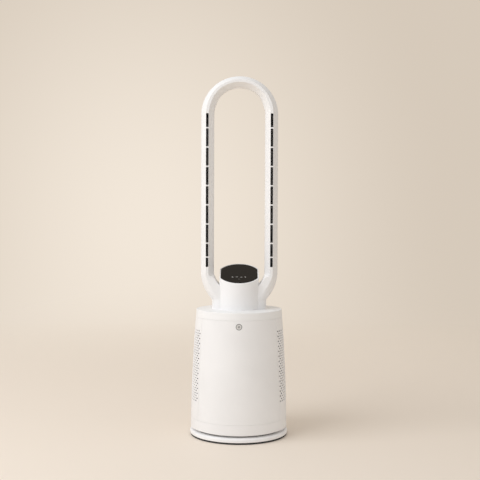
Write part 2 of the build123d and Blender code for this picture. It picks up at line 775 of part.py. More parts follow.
def rear_cover_body():
    """Wrap-round rear cover with a window for each grille and a stiffening rib inside."""
    start = PANEL_HALF_ANGLE + PANEL_EDGE_GAP
    arc = 360 - 2 * start
    section = shell_face(LOWER_SEAM + SEAM_GAP / 2, UPPER_SEAM - SEAM_GAP / 2)
    cover = spun(section, arc, start)
    window = shell_face(GRILLE_BOTTOM - 1, GRILLE_TOP + 1, SHELL_WALL + 4, -2)
    for low in (GRILLE_START, 360 - GRILLE_END):
        cover -= spun(window, GRILLE_END - GRILLE_START, low)
    flange = shell_face(LOWER_SEAM + 4, UPPER_SEAM - 12, FLANGE_DEPTH, SHELL_WALL - 0.2)
    flange_arc = GRILLE_START - start - 0.05
    cover += spun(flange, flange_arc, start)
    cover += spun(flange, flange_arc, -start - flange_arc)
    for z in (LOWER_SEAM + 6, UPPER_SEAM - 8):
        rib = shell_face(z, z + 2.5, 4.0, SHELL_WALL - 0.5)
        cover += spun(rib, 70, 145)
    pocket = shell_face(RECESS_BOTTOM - 2, RECESS_TOP + 2, RECESS_DEPTH, SHELL_WALL - 0.6)
    cover += spun(pocket, 2 * RECESS_ANGLE + 2, 179 - RECESS_ANGLE)
    hollow = shell_face(RECESS_BOTTOM, RECESS_TOP, RECESS_DEPTH, -1)
    return cover - spun(hollow, 2 * RECESS_ANGLE, 180 - RECESS_ANGLE)


def grille(start):
    """Perforated panel that fills one window of the rear cover."""
    panel = spun(shell_face(GRILLE_BOTTOM - 1, GRILLE_TOP + 1), GRILLE_END - GRILLE_START, start)
    pitch = (GRILLE_TOP - GRILLE_BOTTOM) / GRILLE_ROWS
    span = (GRILLE_END - GRILLE_START) / (GRILLE_COLUMNS + 0.5)
    slots = []
    for row in range(GRILLE_ROWS):
        z = GRILLE_BOTTOM + (row + 0.5) * pitch
        radius = body_radius(z)
        length = 2 * radius * sin(radians(span / 2)) - GRILLE_WEB
        for column in range(GRILLE_COLUMNS):
            azimuth = start + (column + 0.5 + row % 2 * 0.5) * span
            slots.append(
                polar(radius, azimuth, z) * Rot(0, 0, azimuth)
                * Box(length, 24, GRILLE_SLOT_HEIGHT)
            )
    return panel - slots


def top_deck():
    """Band above the upper seam and the flat deck, open under the neck."""
    bottom = UPPER_SEAM + SEAM_GAP / 2
    outer = side_edge(bottom, BODY_TOP - RIM_FILLET)
    corner_r = body_radius(BODY_TOP) - RIM_FILLET
    rim = ThreePointArc(
        outer @ 1,
        (corner_r + RIM_FILLET * 0.72, BODY_TOP - RIM_FILLET * 0.28),
        (corner_r, BODY_TOP),
    )
    inner = side_edge(bottom, BODY_TOP - SHELL_WALL, SHELL_WALL)
    section = make_face(
        [
            outer,
            rim,
            Line((corner_r, BODY_TOP), (20, BODY_TOP)),
            Line((20, BODY_TOP), (20, BODY_TOP - SHELL_WALL)),
            Line((20, BODY_TOP - SHELL_WALL), inner @ 1),
            inner,
            Line(inner @ 0, outer @ 0),
        ]
    )
    lip_angle = PANEL_HALF_ANGLE - 4
    lip = spun(shell_face(bottom - 7, bottom + 7, 2.2, SHELL_WALL), 2 * lip_angle, -lip_angle)
    deck = spun(section) + lip
    deck += disc(HOUSING_RADIUS + 2, UPPER_SEAM - 1, BODY_TOP - SHELL_WALL,
                 bore=HOUSING_RADIUS - 4)
    return deck - Pos(0, 0, BODY_TOP - 12) * extrude(collar_plan(8), 30)


def neck_gasket():
    """Foam seal in the deck's opening, under the neck."""
    ring = collar_plan(8) - collar_plan(12)
    return Pos(0, 0, BODY_TOP - SHELL_WALL) * extrude(ring, SHELL_WALL)


def indicator_parts():
    """Round touch indicator on the front panel: ring, lens and its small board."""
    z = INDICATOR_HEIGHT
    front = body_radius(z)
    place = Pos(0, -front - 0.4, z) * Rot(-90, 0, 0)
    align = (Align.CENTER, Align.CENTER, Align.MIN)
    ring = Cylinder(INDICATOR_RADIUS, 3.2, align=align) - Cylinder(6.6, 20)
    lens = Pos(0, 0, 0.3) * Cylinder(6.6, 3.4, align=align)
    board = Pos(0, 0, 3.7) * Cylinder(5.5, 1.6, align=align)
    wires = Pos(0, 0, 5.3) * Box(4, 4, 3, align=align)
    save("indicator_ring", place * ring)
    save("indicator_lens", place * lens)
    save("indicator_board", place * (board + wires))


def make_covers():
    """The body's outer mouldings."""
    save("front_panel", front_panel())
    save("rear_cover", rear_cover_body())
    save("grille_right", grille(GRILLE_START))
    save("grille_left", grille(360 - GRILLE_END))
    edge = PANEL_HALF_ANGLE + PANEL_EDGE_GAP
    save("cover_magnets", catch_pads(edge - MAGNET_ANGLE, MAGNET_ANGLE, 5.5))
    save("top_deck", top_deck())
    save("neck_gasket", neck_gasket())
    indicator_parts()


# ---------------------------------------------------------------- neck and display
def column_plan(margin=0.0):
    """Plan of the display column: a circle with a flat on each side."""
    flats = Rectangle(2 * (COLUMN_FLAT - margin), 4 * COLUMN_RADIUS)
    return Circle(COLUMN_RADIUS - margin) & flats


def display_slab(top, bottom):
    """Everything between two depths under the display's slanted plane."""
    tilt = degrees(atan(DISPLAY_SLOPE))
    plane = Plane(
        origin=(0, 0, DISPLAY_HEIGHT),
        x_dir=(1, 0, 0),
        z_dir=(0, -sin(radians(tilt)), cos(radians(tilt))),
    )
    slab = extrude(Rectangle(300, 300), top - bottom)
    return plane * Pos(0, 0, bottom) * slab


def column(margin=0.0, top=0.0, floor=BODY_TOP):
    """The display column, cut by its slanted top."""
    solid = Pos(0, 0, floor) * extrude(column_plan(margin), 200)
    return solid - display_slab(400, top)


def wedge_section(half, inset=0.0):
    """Section of the hoop about its centre line, nose to -Y, moved in by a wall if given."""
    wide = half / HOOP_HALF
    nose = (NOSE_FLAT / 2, HOOP_NOSE + inset)
    shoulder = (15.6 * wide - inset * 0.9, HOOP_SHOULDER + inset * 0.3)
    bulge = (HOOP_HALF * wide - inset, HOOP_BULGE)
    side = (18.0 * wide - inset, HOOP_SIDE)
    flank = (14.4 * wide - inset, HOOP_FLANK)
    tail = (5.5 * wide - inset * 0.4, HOOP_TAIL - inset)
    tip = (0.0, HOOP_TAIL + 3.2 - inset)

    def flipped(point):
        return (-point[0], point[1])

    right = [
        Line(nose, shoulder),
        ThreePointArc(shoulder, bulge, side),
        ThreePointArc(side, flank, tail),
    ]
    left = [
        ThreePointArc(flipped(tail), flipped(flank), flipped(side)),
        ThreePointArc(flipped(side), flipped(bulge), flipped(shoulder)),
        Line(flipped(shoulder), flipped(nose)),
    ]
    over_tail = ThreePointArc(tail, tip, flipped(tail))
    return make_face([*right, over_tail, *left, Line(flipped(nose), nose)])


def collar_plan(inset=0.0):
    """Plan of the collar that stands on the deck, a little further to the rear than the front."""
    depth = COLLAR_REAR - COLLAR_FRONT - 2 * inset
    outline = RectangleRounded(2 * (NECK_HALF_WIDTH - inset), depth, COLLAR_CORNER - inset)
    return Pos(0, (COLLAR_FRONT + COLLAR_REAR) / 2) * outline


def smooth(share):
    """Eases from 0 to 1, flat at both ends."""
    share = min(1.0, max(0.0, share))
    return share * share * (3 - 2 * share)


def quarter(centre, radius, start, end, count):
    """Points on a circle between two angles, counted from the front towards +X."""
    steps = [radians(start + (end - start) * k / (count - 1)) for k in range(count)]
    return [(centre[0] + radius * sin(a), centre[1] - radius * cos(a)) for a in steps]


def between(a, b, count):
    """Evenly spaced points on the straight line from one point to another."""
    return [
        (a[0] + (b[0] - a[0]) * k / (count - 1), a[1] + (b[1] - a[1]) * k / (count - 1))
        for k in range(count)
    ]


def along(curve, start, end, count):
    """Evenly spaced points on part of a curve."""
    points = [curve @ (start + (end - start) * k / (count - 1)) for k in range(count)]
    return [(p.X, p.Y) for p in points]


def leg_runs(split, inset):
    """One side of the leg's section, nose to tail, with x counted from its widest point."""
    wide = HOOP_HALF - inset
    nose = (NOSE_FLAT / 2 - wide, HOOP_NOSE + inset)
    shoulder = (15.6 - inset * 0.9 - wide, HOOP_SHOULDER + inset * 0.3)
    girth = ThreePointArc(shoulder, (0, HOOP_BULGE), (18.0 - HOOP_HALF, HOOP_SIDE))
    tail = (5.5 - inset * 0.4 - wide, HOOP_TAIL - inset)
    back = ThreePointArc((18.0 - HOOP_HALF, HOOP_SIDE), (14.4 - HOOP_HALF, HOOP_FLANK), tail)
    return [
        between(nose, shoulder, 6),
        along(girth, 0, 1, 6),
        along(back, 0, split, 5),
        along(back, split, 1, 7),
    ]


def block_runs(corner, front, rear):
    """One side of a block with rounded corners, front to rear, x counted from its side."""
    low, high = front + corner, rear - corner
    middle = min(high, HOOP_SIDE)
    return [
        quarter((-corner, low), corner, 0, 90, 6),
        between((0, low), (0, middle), 6),
        between((0, middle), (0, high), 5),
        quarter((-corner, high), corner, 90, 180, 7),
    ]


def branch_section(height, inner, inset=0.0):
    """Horizontal cut through the right branch: leg of the hoop above, half of the collar below."""
    drop = max(0.0, HOOP_BOTTOM_CENTRE - height)
    outside = sqrt((HOOP_OUTER - inset) ** 2 - drop**2)
    lean = 1.4 if 400 < height < 440 else 1.0
    inside = inner + inset * lean
    into_collar = smooth((BRANCH_TOP - height) / (BRANCH_TOP - COLLAR_TOP))
    into_block = smooth((BRANCH_TOP - height) / BRANCH_TURN)
    front = COLLAR_FRONT + BRANCH_SETBACK + inset
    rear = COLLAR_REAR - BRANCH_SETBACK - inset
    front = HOOP_NOSE + inset + (front - HOOP_NOSE - inset) * into_collar
    rear = HOOP_TAIL - inset + (rear - HOOP_TAIL + inset) * into_collar

    def mixed(leg, block, share):
        return [
            [(a[0] + (b[0] - a[0]) * share, a[1] + (b[1] - a[1]) * share) for a, b in zip(*runs)]
            for runs in zip(leg, block)
        ]

    corner = COLLAR_CORNER - inset
    outer = mixed(
        leg_runs(0.18, inset),
        block_runs(corner, COLLAR_FRONT + BRANCH_SETBACK + inset,
                   COLLAR_REAR - BRANCH_SETBACK - inset),
        into_collar,
    )
    near = mixed(leg_runs(0.5, inset), block_runs(BRANCH_EDGE, front, rear), into_block)
    right = [[(outside + x, y) for x, y in run] for run in outer]
    left = [[(inside - x, y) for x, y in run] for run in near]
    tail_out, tail_in = right[-1][-1], left[-1][-1]
    middle_x, middle_y = (tail_out[0] + tail_in[0]) / 2, (tail_out[1] + tail_in[1]) / 2
    half = (tail_out[0] - tail_in[0]) / 2
    crown = ThreePointArc((5.5, 0), (0, 3.2), (-5.5, 0))
    over = [
        (middle_x + x / 5.5 * half, middle_y + y * (1 - into_collar))
        for x, y in along(crown, 0, 1, 7)
    ]
    over[0], over[-1] = tail_out, tail_in
    edges = [Line(left[0][0], right[0][0])]
    edges += [Spline(*run) for run in right]
    edges += [Spline(*over)]
    edges += [Spline(*run[::-1]) for run in left[::-1]]
    return Pos(0, 0, height) * make_face(edges)


def neck_branch(inset=0.0):
    """Lofted duct from one leg of the hoop down into the collar, broad and flush at its foot."""
    return loft([branch_section(z, inner, inset) for z, inner in BRANCH_STATIONS])


def neck_shell():
    """Collar, column and two branches in one moulding, hollow for the air."""
    collar = Pos(0, 0, BODY_TOP) * extrude(collar_plan(), COLLAR_TOP - BODY_TOP)
    branch = neck_branch()
    duct = neck_branch(NECK_WALL)
    outer = collar + column() + branch + branch.mirror(Plane.YZ)
    seat = Pos(0, 0, BODY_TOP) * extrude(column_plan(GLASS_MARGIN), 200)
    seat &= display_slab(400, -GLASS_THICKNESS - GLASS_SINK)
    board_room = column(NECK_WALL + 4, 0.0) & display_slab(1, -12.0)
    upper_room = column(NECK_WALL + 7, -11.0, PARTITION + NECK_WALL)
    lower_room = column(NECK_WALL + 1.2, -16.0, BODY_TOP - 1) & disc(200, BODY_TOP - 2, PARTITION)
    collar_room = Pos(0, 0, BODY_TOP - 1) * extrude(
        collar_plan(NECK_WALL), COLLAR_TOP - NECK_WALL - BODY_TOP + 1
    )
    rooms = [seat, board_room, upper_room, lower_room, collar_room, duct, duct.mirror(Plane.YZ)]
    for room in rooms:
        outer -= room
    return outer


def make_neck():
    """Neck, display glass, its carrier and its board."""
    save("neck_shell", neck_shell())
    under = -GLASS_SINK - GLASS_THICKNESS
    tall = Pos(0, 0, BODY_TOP) * extrude(column_plan(GLASS_MARGIN + 0.15), 200)
    save("display_glass", tall & display_slab(-GLASS_SINK, under))
    inner = Pos(0, 0, BODY_TOP) * extrude(column_plan(NECK_WALL + 4.2), 200)
    carrier_core = Pos(0, 0, BODY_TOP) * extrude(column_plan(NECK_WALL + 8), 200)
    save("display_frame", (inner - carrier_core) & display_slab(under, -12.0))
    board = Pos(0, 0, BODY_TOP) * extrude(column_plan(NECK_WALL + 8.2), 200)
    save("display_board", board & display_slab(under - 1.2, under - 2.8))


# ---------------------------------------------------------------- hoop
def hoop_section_faces():
    """Sections of the front and rear mouldings, about the section's centre line."""
    ring = wedge_section(HOOP_HALF) - wedge_section(HOOP_HALF, HOOP_WALL)
    front_half = Pos(0, HOOP_SPLIT - 50) * Rectangle(80, 100)
    rear_half = Pos(0, HOOP_SPLIT + 50) * Rectangle(80, 100)
    return ring & front_half, ring & rear_half


def around_racetrack(section):
    """Carries a section up one leg, over the arch and down the other leg."""
    ground = Pos(HOOP_CENTRE, 0, BRANCH_TOP) * section
    leg = extrude(ground, HOOP_TOP_CENTRE - BRANCH_TOP, dir=(0, 0, 1))
    top = Pos(HOOP_CENTRE, 0, HOOP_TOP_CENTRE) * section
    axis = Axis((0, 0, HOOP_TOP_CENTRE), (0, -1, 0))
    arch = revolve(top, axis=axis, revolution_arc=180)
    return leg + arch + leg.mirror(Plane.YZ)


def slot_spans():
    """Lowest and highest point of each slot in a row, between its ribs."""
    spans = []
    for i, (low, high) in enumerate(zip(SLOT_STOPS, SLOT_STOPS[1:])):
        first = low if i == 0 else low + SLOT_RIB / 2
        last = high if i == len(SLOT_STOPS) - 2 else high - SLOT_RIB / 2
        spans.append((first, last))
    return spans


def air_slots(width, depth):
    """Cutters for both rows of slots."""
    cutters = []
    for side in (-1, 1):
        for low, high in slot_spans():
            cutters.append(
                Pos(side * HOOP_CENTRE, HOOP_NOSE, (low + high) / 2)
                * Box(width, depth, high - low)
            )
    return cutters


def nozzle(side):
    """Funnel behind one row of slots, with lips that line them and a rib at each bridge."""
    mouth, back = SLOT_WIDTH / 2 - LIP_FIT - LIP_WALL, HOOP_NOSE + 17
    front = HOOP_NOSE + HOOP_WALL
    wall = face_of((mouth, front), (mouth + 1.4, front), (9.6, back), (8.0, back))
    plate = extrude(Pos(0, 0, SLOT_BOTTOM) * wall, SLOT_TOP - SLOT_BOTTOM)
    lip = face_of(
        (mouth, HOOP_NOSE + LIP_SINK),
        (mouth + LIP_WALL, HOOP_NOSE + LIP_SINK),
        (mouth + LIP_WALL, front + 0.4),
        (mouth, front + 0.4),
    )
    for low, high in slot_spans():
        plate += extrude(Pos(0, 0, low + LIP_FIT) * lip, high - low - 2 * LIP_FIT)
    funnel = plate + plate.mirror(Plane.YZ)
    bridge = face_of((-mouth - 0.5, front), (mouth + 0.5, front), (8.6, back), (-8.6, back))
    ends = [SLOT_STOPS[0] + SLOT_RIB / 2, SLOT_STOPS[-1] - SLOT_RIB / 2]
    for z in ends[:1] + SLOT_STOPS[1:-1] + ends[1:]:
        funnel += Pos(0, 0, z - SLOT_RIB / 2 + 0.5) * extrude(bridge, SLOT_RIB - 1)
    return Pos(side * HOOP_CENTRE, 0, 0) * funnel


def make_hoop():
    """Front and rear mouldings of the hoop and the two nozzles."""
    front_face, rear_face = hoop_section_faces()
    front = around_racetrack(front_face)
    save("hoop_front", front - air_slots(SLOT_WIDTH, 12))
    save("hoop_rear", around_racetrack(rear_face))
    save("nozzle_left", nozzle(-1))
    save("nozzle_right", nozzle(1))


# ---------------------------------------------------------------- build
make_base()
make_swing_drive()
save("tower_pan", tower_pan())
save("dust_ring", disc(PAN_RADIUS, DUST_RING_BOTTOM, PAN_BOTTOM, bore=DUST_RING_BORE))
save("lower_skirt", lower_skirt())
save("power_inlet", power_inlet())
save("swing_motor", swing_motor())
save("main_board", main_board())
save("chassis", chassis())
save("steel_keepers", catch_pads(CHASSIS_FRONT_ANGLE + WING_ANGLE, KEEPER_ANGLE, 6.0))
make_filter()
make_blower()
make_covers()
make_neck()
make_hoop()
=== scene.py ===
"""Looks for the bladeless tower fan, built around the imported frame.

+Z is up, the front faces -Y, and the origin is on the floor under the middle of the base.
Camera, light and backdrop are in metres; the sizes of the meshes are in millimetres.
"""

import json
import math

import bmesh
import bpy
from mathutils import Matrix, Vector


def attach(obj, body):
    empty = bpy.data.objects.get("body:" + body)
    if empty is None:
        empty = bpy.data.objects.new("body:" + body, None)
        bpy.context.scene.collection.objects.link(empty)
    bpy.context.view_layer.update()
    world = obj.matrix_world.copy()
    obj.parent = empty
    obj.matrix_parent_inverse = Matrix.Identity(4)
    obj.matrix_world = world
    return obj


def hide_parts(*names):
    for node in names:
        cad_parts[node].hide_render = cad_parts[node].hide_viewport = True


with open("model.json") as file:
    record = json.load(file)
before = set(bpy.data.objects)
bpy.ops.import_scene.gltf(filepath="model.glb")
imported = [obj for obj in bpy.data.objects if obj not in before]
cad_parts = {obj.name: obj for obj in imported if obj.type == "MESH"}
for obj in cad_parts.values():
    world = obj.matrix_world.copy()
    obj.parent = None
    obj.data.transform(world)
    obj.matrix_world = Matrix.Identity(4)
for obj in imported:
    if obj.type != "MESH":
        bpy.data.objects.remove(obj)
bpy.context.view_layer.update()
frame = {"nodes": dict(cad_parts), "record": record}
nodes = frame["nodes"]

# ---------------------------------------------------------------- camera
IMAGE_SIDE = 480
FOCAL_PIXELS = 873.6
SENSOR = 36.0
EYE = Vector((0.0020, -2.4479, 0.6088))
PITCH_DOWN = math.radians(1.535)
ROLL = math.radians(0.2)
CLIP_NEAR, CLIP_FAR = 0.05, 50.0


def make_camera():
    """The photograph's camera: a square picture, looking along +Y and slightly down."""
    data = bpy.data.cameras.new("camera")
    data.sensor_width = SENSOR
    data.lens = FOCAL_PIXELS * SENSOR / IMAGE_SIDE
    data.clip_start, data.clip_end = CLIP_NEAR, CLIP_FAR
    cam = bpy.data.objects.new("camera", data)
    bpy.context.scene.collection.objects.link(cam)
    forward = Vector((0.0, math.cos(PITCH_DOWN), -math.sin(PITCH_DOWN)))
    side = Vector((1.0, 0.0, 0.0))
    up = side.cross(forward)
    right = side * math.cos(ROLL) + up * math.sin(ROLL)
    top = up * math.cos(ROLL) - side * math.sin(ROLL)
    turn = Matrix((right, top, -forward)).transposed().to_4x4()
    cam.matrix_world = Matrix.Translation(EYE) @ turn
    bpy.context.scene.camera = cam


make_camera()

# ---------------------------------------------------------------- light
WORLD_COLOR = (1.0, 0.985, 0.968)
WORLD_LEVEL = 0.635
BACKDROP_COLOR = (0.675, 0.59, 0.495)
KEY_POWER = 52.8
KEY_SIZE = 2.4
KEY_DISTANCE = 3.0
KEY_AZIMUTH = math.radians(57.0)
KEY_ELEVATION = math.radians(37.0)
KEY_COLOR = (0.93, 0.957, 1.0)
KEY_AIM = Vector((0.0, 0.0, 0.5))


def computed(tree, operation, *values):
    """A Math node; a value is a number or another node's output."""
    node = tree.nodes.new("ShaderNodeMath")
    node.operation = operation
    for slot, value in zip(node.inputs, values):
        if isinstance(value, (int, float)):
            slot.default_value = value
        else:
            tree.links.new(value, slot)
    return node.outputs[0]


def seen_directly(tree):
    """1 for camera rays and for what glass and metal show, 0 for the light on surfaces."""
    path = tree.nodes.new("ShaderNodeLightPath")
    seen = computed(tree, "MAXIMUM", path.outputs["Is Camera Ray"], path.outputs["Is Glossy Ray"])
    return computed(tree, "MAXIMUM", seen, path.outputs["Is Transmission Ray"])


def make_light():
    """A plain surround, seen as the backdrop's colour, and one large lamp at the front left."""
    world = bpy.data.worlds.new("studio")
    bpy.context.scene.world = world
    world.use_nodes = True
    tree = world.node_tree
    tree.nodes.clear()
    out = tree.nodes.new("ShaderNodeOutputWorld")
    sky = tree.nodes.new("ShaderNodeBackground")
    sky.inputs["Color"].default_value = (*WORLD_COLOR, 1.0)
    sky.inputs["Strength"].default_value = WORLD_LEVEL
    wall = tree.nodes.new("ShaderNodeBackground")
    wall.inputs["Color"].default_value = (*BACKDROP_COLOR, 1.0)
    wall.inputs["Strength"].default_value = 1.0
    mix = tree.nodes.new("ShaderNodeMixShader")
    tree.links.new(seen_directly(tree), mix.inputs["Fac"])
    tree.links.new(sky.outputs[0], mix.inputs[1])
    tree.links.new(wall.outputs[0], mix.inputs[2])
    tree.links.new(mix.outputs[0], out.inputs["Surface"])

    away = Vector((-math.sin(KEY_AZIMUTH) * math.cos(KEY_ELEVATION),
                   -math.cos(KEY_AZIMUTH) * math.cos(KEY_ELEVATION),
                   math.sin(KEY_ELEVATION)))
    data = bpy.data.lights.new("key", "AREA")
    data.shape = "SQUARE"
    data.size = KEY_SIZE
    data.energy = KEY_POWER
    data.color = KEY_COLOR
    key = bpy.data.objects.new("key", data)
    bpy.context.scene.collection.objects.link(key)
    key.location = KEY_AIM + away * KEY_DISTANCE
    key.rotation_mode = "QUATERNION"
    key.rotation_quaternion = (-away).to_track_quat("-Z", "Y")


make_light()
bpy.context.scene.view_settings.view_transform = "Standard"


# ---------------------------------------------------------------- materials
NOISE_LOW, NOISE_HIGH = 0.3, 0.7  # the span that most of a noise texture's values lie in
DRIFT_SCALE, DRIFT_DETAIL = 9.0, 3.0
DRIFT_SPREAD = 0.02
GRAIN_DETAIL = 3.0
GRAIN_STRENGTH = 0.35
GRAIN_ROUGHNESS = (-0.04, 0.05)
SCRATCH_SCALE, SCRATCH_DETAIL = 700.0, 4.0
SCRATCH_STRETCH = (1.0, 1.0, 14.0)
SCRATCH_SHADE = 0.86
SCRATCH_ROUGHNESS = (-0.06, 0.10)


def new_material(name):
    """A material with one principled shader, and its node tree."""
    mat = bpy.data.materials.new(name)
    mat.use_nodes = True
    tree = mat.node_tree
    tree.nodes.clear()
    out = tree.nodes.new("ShaderNodeOutputMaterial")
    shader = tree.nodes.new("ShaderNodeBsdfPrincipled")
    tree.links.new(shader.outputs[0], out.inputs["Surface"])
    return mat, tree, shader


def noise(tree, scale, detail, stretch=(1.0, 1.0, 1.0)):
    """Noise in the object's own space, so that it stays put on a piece that moves."""
    place = tree.nodes.new("ShaderNodeTexCoord")
    spread = tree.nodes.new("ShaderNodeMapping")
    spread.inputs["Scale"].default_value = stretch
    tex = tree.nodes.new("ShaderNodeTexNoise")
    tex.inputs["Scale"].default_value = scale
    tex.inputs["Detail"].default_value = detail
    tree.links.new(place.outputs["Object"], spread.inputs["Vector"])
    tree.links.new(spread.outputs[0], tex.inputs["Vector"])
    return tex.outputs["Fac"]


def ranged(tree, value, low, high, from_low=NOISE_LOW, from_high=NOISE_HIGH):
    """The value taken from one range to another, held at the ends."""
    node = tree.nodes.new("ShaderNodeMapRange")
    node.inputs["From Min"].default_value = from_low
    node.inputs["From Max"].default_value = from_high
    node.inputs["To Min"].default_value = low
    node.inputs["To Max"].default_value = high
    tree.links.new(value, node.inputs["Value"])
    return node.outputs["Result"]


def tinted(tree, value, color_a, color_b, ends=(NOISE_LOW, NOISE_HIGH), curve="LINEAR"):
    """A colour between two, by a value."""
    ramp = tree.nodes.new("ShaderNodeValToRGB")
    ramp.color_ramp.interpolation = curve
    for element, position, color in zip(ramp.color_ramp.elements, ends, (color_a, color_b)):
        element.position = position
        element.color = (*color, 1.0)
    tree.links.new(value, ramp.inputs["Fac"])
    return ramp.outputs["Color"]


def moulded(name, color, roughness, grain=1800.0, depth=0.00002, gloss=0.5):
    """Injection-moulded plastic: a spark-eroded satin grain, with slight drifts of tone."""
    mat, tree, shader = new_material(name)
    drift = noise(tree, DRIFT_SCALE, DRIFT_DETAIL)
    low = tuple(c * (1.0 - DRIFT_SPREAD) for c in color)
    high = tuple(min(1.0, c * (1.0 + DRIFT_SPREAD)) for c in color)
    tree.links.new(tinted(tree, drift, low, high), shader.inputs["Base Color"])
    fine = noise(tree, grain, GRAIN_DETAIL)
    tree.links.new(ranged(tree, fine, *(roughness + change for change in GRAIN_ROUGHNESS)),
                   shader.inputs["Roughness"])
    bump = tree.nodes.new("ShaderNodeBump")
    bump.inputs["Strength"].default_value = GRAIN_STRENGTH
    bump.inputs["Distance"].default_value = depth
    tree.links.new(fine, bump.inputs["Height"])
    tree.links.new(bump.outputs[0], shader.inputs["Normal"])
    shader.inputs["Specular IOR Level"].default_value = gloss
    return mat


def metal(name, color, roughness):
    """Turned or pressed metal with a fine directional scratch."""
    mat, tree, shader = new_material(name)
    shader.inputs["Metallic"].default_value = 1.0
    streak = noise(tree, SCRATCH_SCALE, SCRATCH_DETAIL, SCRATCH_STRETCH)
    tree.links.new(tinted(tree, streak, tuple(c * SCRATCH_SHADE for c in color), color),
                   shader.inputs["Base Color"])
    tree.links.new(ranged(tree, streak, *(roughness + change for change in SCRATCH_ROUGHNESS)),
                   shader.inputs["Roughness"])
    return mat


materials = {
    "white_plastic": moulded("white_plastic", (0.885, 0.880, 0.879), 0.42),
    "grey_plastic": moulded("grey_plastic", (0.42, 0.42, 0.41), 0.45),
    "dark_plastic": moulded("dark_plastic", (0.016, 0.016, 0.017), 0.5),
    "black_plastic": moulded("black_plastic", (0.004, 0.004, 0.004), 0.7, gloss=0.1),
    "gear_plastic": moulded("gear_plastic", (0.72, 0.69, 0.60), 0.38),
    "black_glass": moulded("black_glass", (0.004, 0.0035, 0.003), 0.10, depth=0.0, gloss=0.08),
    "frosted_lens": moulded("frosted_lens", (0.78, 0.77, 0.75), 0.3),
    "steel": metal("steel", (0.62, 0.62, 0.63), 0.32),
    "motor_can": metal("motor_can", (0.70, 0.70, 0.71), 0.42),
    "rubber": moulded("rubber", (0.030, 0.030, 0.030), 0.8),
    "foam": moulded("foam", (0.06, 0.06, 0.06), 0.95, grain=900.0, depth=0.0002),
    "board": moulded("board", (0.02, 0.10, 0.05), 0.35),
    "filter_paper": moulded("filter_paper", (0.86, 0.86, 0.84), 0.95, grain=2500.0),
    # pieces whose tone differs a little from their slot's: the indicator's own greys, and the deck
    # and the base in lighter copies of the white plastic, painted light for the extra light that
    # falls on them; and the printed marks
    "deck_white_painted_light": moulded("deck_white_painted_light", (0.893, 0.892, 0.889), 0.42),
    "base_white_painted_light": moulded("base_white_painted_light", (0.925, 0.920, 0.922), 0.42),
    "ring_grey": moulded("ring_grey", (0.26, 0.26, 0.255), 0.45),
    "lens_grey": moulded("lens_grey", (0.73, 0.72, 0.705), 0.30),
    "mark_lens": moulded("mark_lens", (0.10, 0.10, 0.098), 0.4),
    "mark_grey": moulded("mark_grey", (0.58, 0.565, 0.545), 0.4),
    "mark_dim": moulded("mark_dim", (0.07, 0.068, 0.066), 0.4),
}
# the deck and the base take lighter copies of the white plastic: painted light
OWN_TONES_AND_PAINTED_LIGHT = {"top_deck": "deck_white_painted_light", "indicator_ring": "ring_grey",
              "indicator_lens": "lens_grey", "base_plate": "base_white_painted_light"}
for part in frame["record"]["subparts"]:
    node = nodes[part["node"]]
    node.data.materials.clear()
    node.data.materials.append(materials[OWN_TONES_AND_PAINTED_LIGHT.get(part["node"], part["material_slot"])])


# ---------------------------------------------------------------- mesh helpers
MM = 0.001
SMOOTH_ANGLE, HOOP_SMOOTH_ANGLE, NECK_SMOOTH_ANGLE = 35.0, 25.0, 30.0


def add_mesh(name, points, faces, finish, body, stands_for=(), smooth_angle=SMOOTH_ANGLE):
    """A mesh object from points in millimetres that moves with a body of the frame."""
    data = bpy.data.meshes.new(name)
    data.from_pydata([(x * MM, y * MM, z * MM) for x, y, z in points], [], faces)
    data.validate()
    work = bmesh.new()
    work.from_mesh(data)
    bmesh.ops.recalc_face_normals(work, faces=work.faces)
    work.to_mesh(data)
    work.free()
    data.shade_smooth()
    data.set_sharp_from_angle(angle=math.radians(smooth_angle))
    data.materials.append(materials[finish])
    obj = bpy.data.objects.new(name, data)
    bpy.context.scene.collection.objects.link(obj)
    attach(obj, body)
    if stands_for:
        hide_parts(*stands_for)


def arc_through(a, b, c, steps):
    """Points on the circle from a through b to c, without the last."""
    ax, ay, bx, by, cx, cy = *a, *b, *c
    d = 2 * (ax * (by - cy) + bx * (cy - ay) + cx * (ay - by))
    ux = ((ax**2 + ay**2) * (by - cy) + (bx**2 + by**2) * (cy - ay)
          + (cx**2 + cy**2) * (ay - by)) / d
    uy = ((ax**2 + ay**2) * (cx - bx) + (bx**2 + by**2) * (ax - cx)
          + (cx**2 + cy**2) * (bx - ax)) / d
    start, mid, end = (math.atan2(p[1] - uy, p[0] - ux) for p in (a, b, c))
    sweep = (end - start) % (2 * math.pi)
    if (mid - start) % (2 * math.pi) > sweep:
        sweep -= 2 * math.pi
    radius = math.hypot(ax - ux, ay - uy)
    return [(ux + radius * math.cos(start + sweep * k / steps),
             uy + radius * math.sin(start + sweep * k / steps)) for k in range(steps)]


# ---------------------------------------------------------------- body shell
BODY_BOTTOM, BODY_BOTTOM_RADIUS = 24.0, 134.3
BODY_TOP, BODY_TOP_RADIUS = 351.0, 119.3
BODY_CROWN = 3.0  # how far the long arc stands out from its chord
TURN_STEPS = 180


def body_radius(z):
    """Outer radius of the body at a height, on its one long arc."""
    chord_r = BODY_TOP_RADIUS - BODY_BOTTOM_RADIUS
    chord_z = BODY_TOP - BODY_BOTTOM
    chord = math.hypot(chord_r, chord_z)
    radius = (chord**2 / 4 + BODY_CROWN**2) / (2 * BODY_CROWN)
    inward = radius - BODY_CROWN
    centre_r = (BODY_TOP_RADIUS + BODY_BOTTOM_RADIUS) / 2 - inward * chord_z / chord
    centre_z = (BODY_TOP + BODY_BOTTOM) / 2 + inward * chord_r / chord
    return centre_r + math.sqrt(radius**2 - (z - centre_z) ** 2)


def on_body(azimuth, z, inset):
    """A point on or inside the body's side, at an azimuth in degrees from the front."""
    a = math.radians(azimuth)
    r = body_radius(z) - inset
    return (r * math.sin(a), -r * math.cos(a), z)


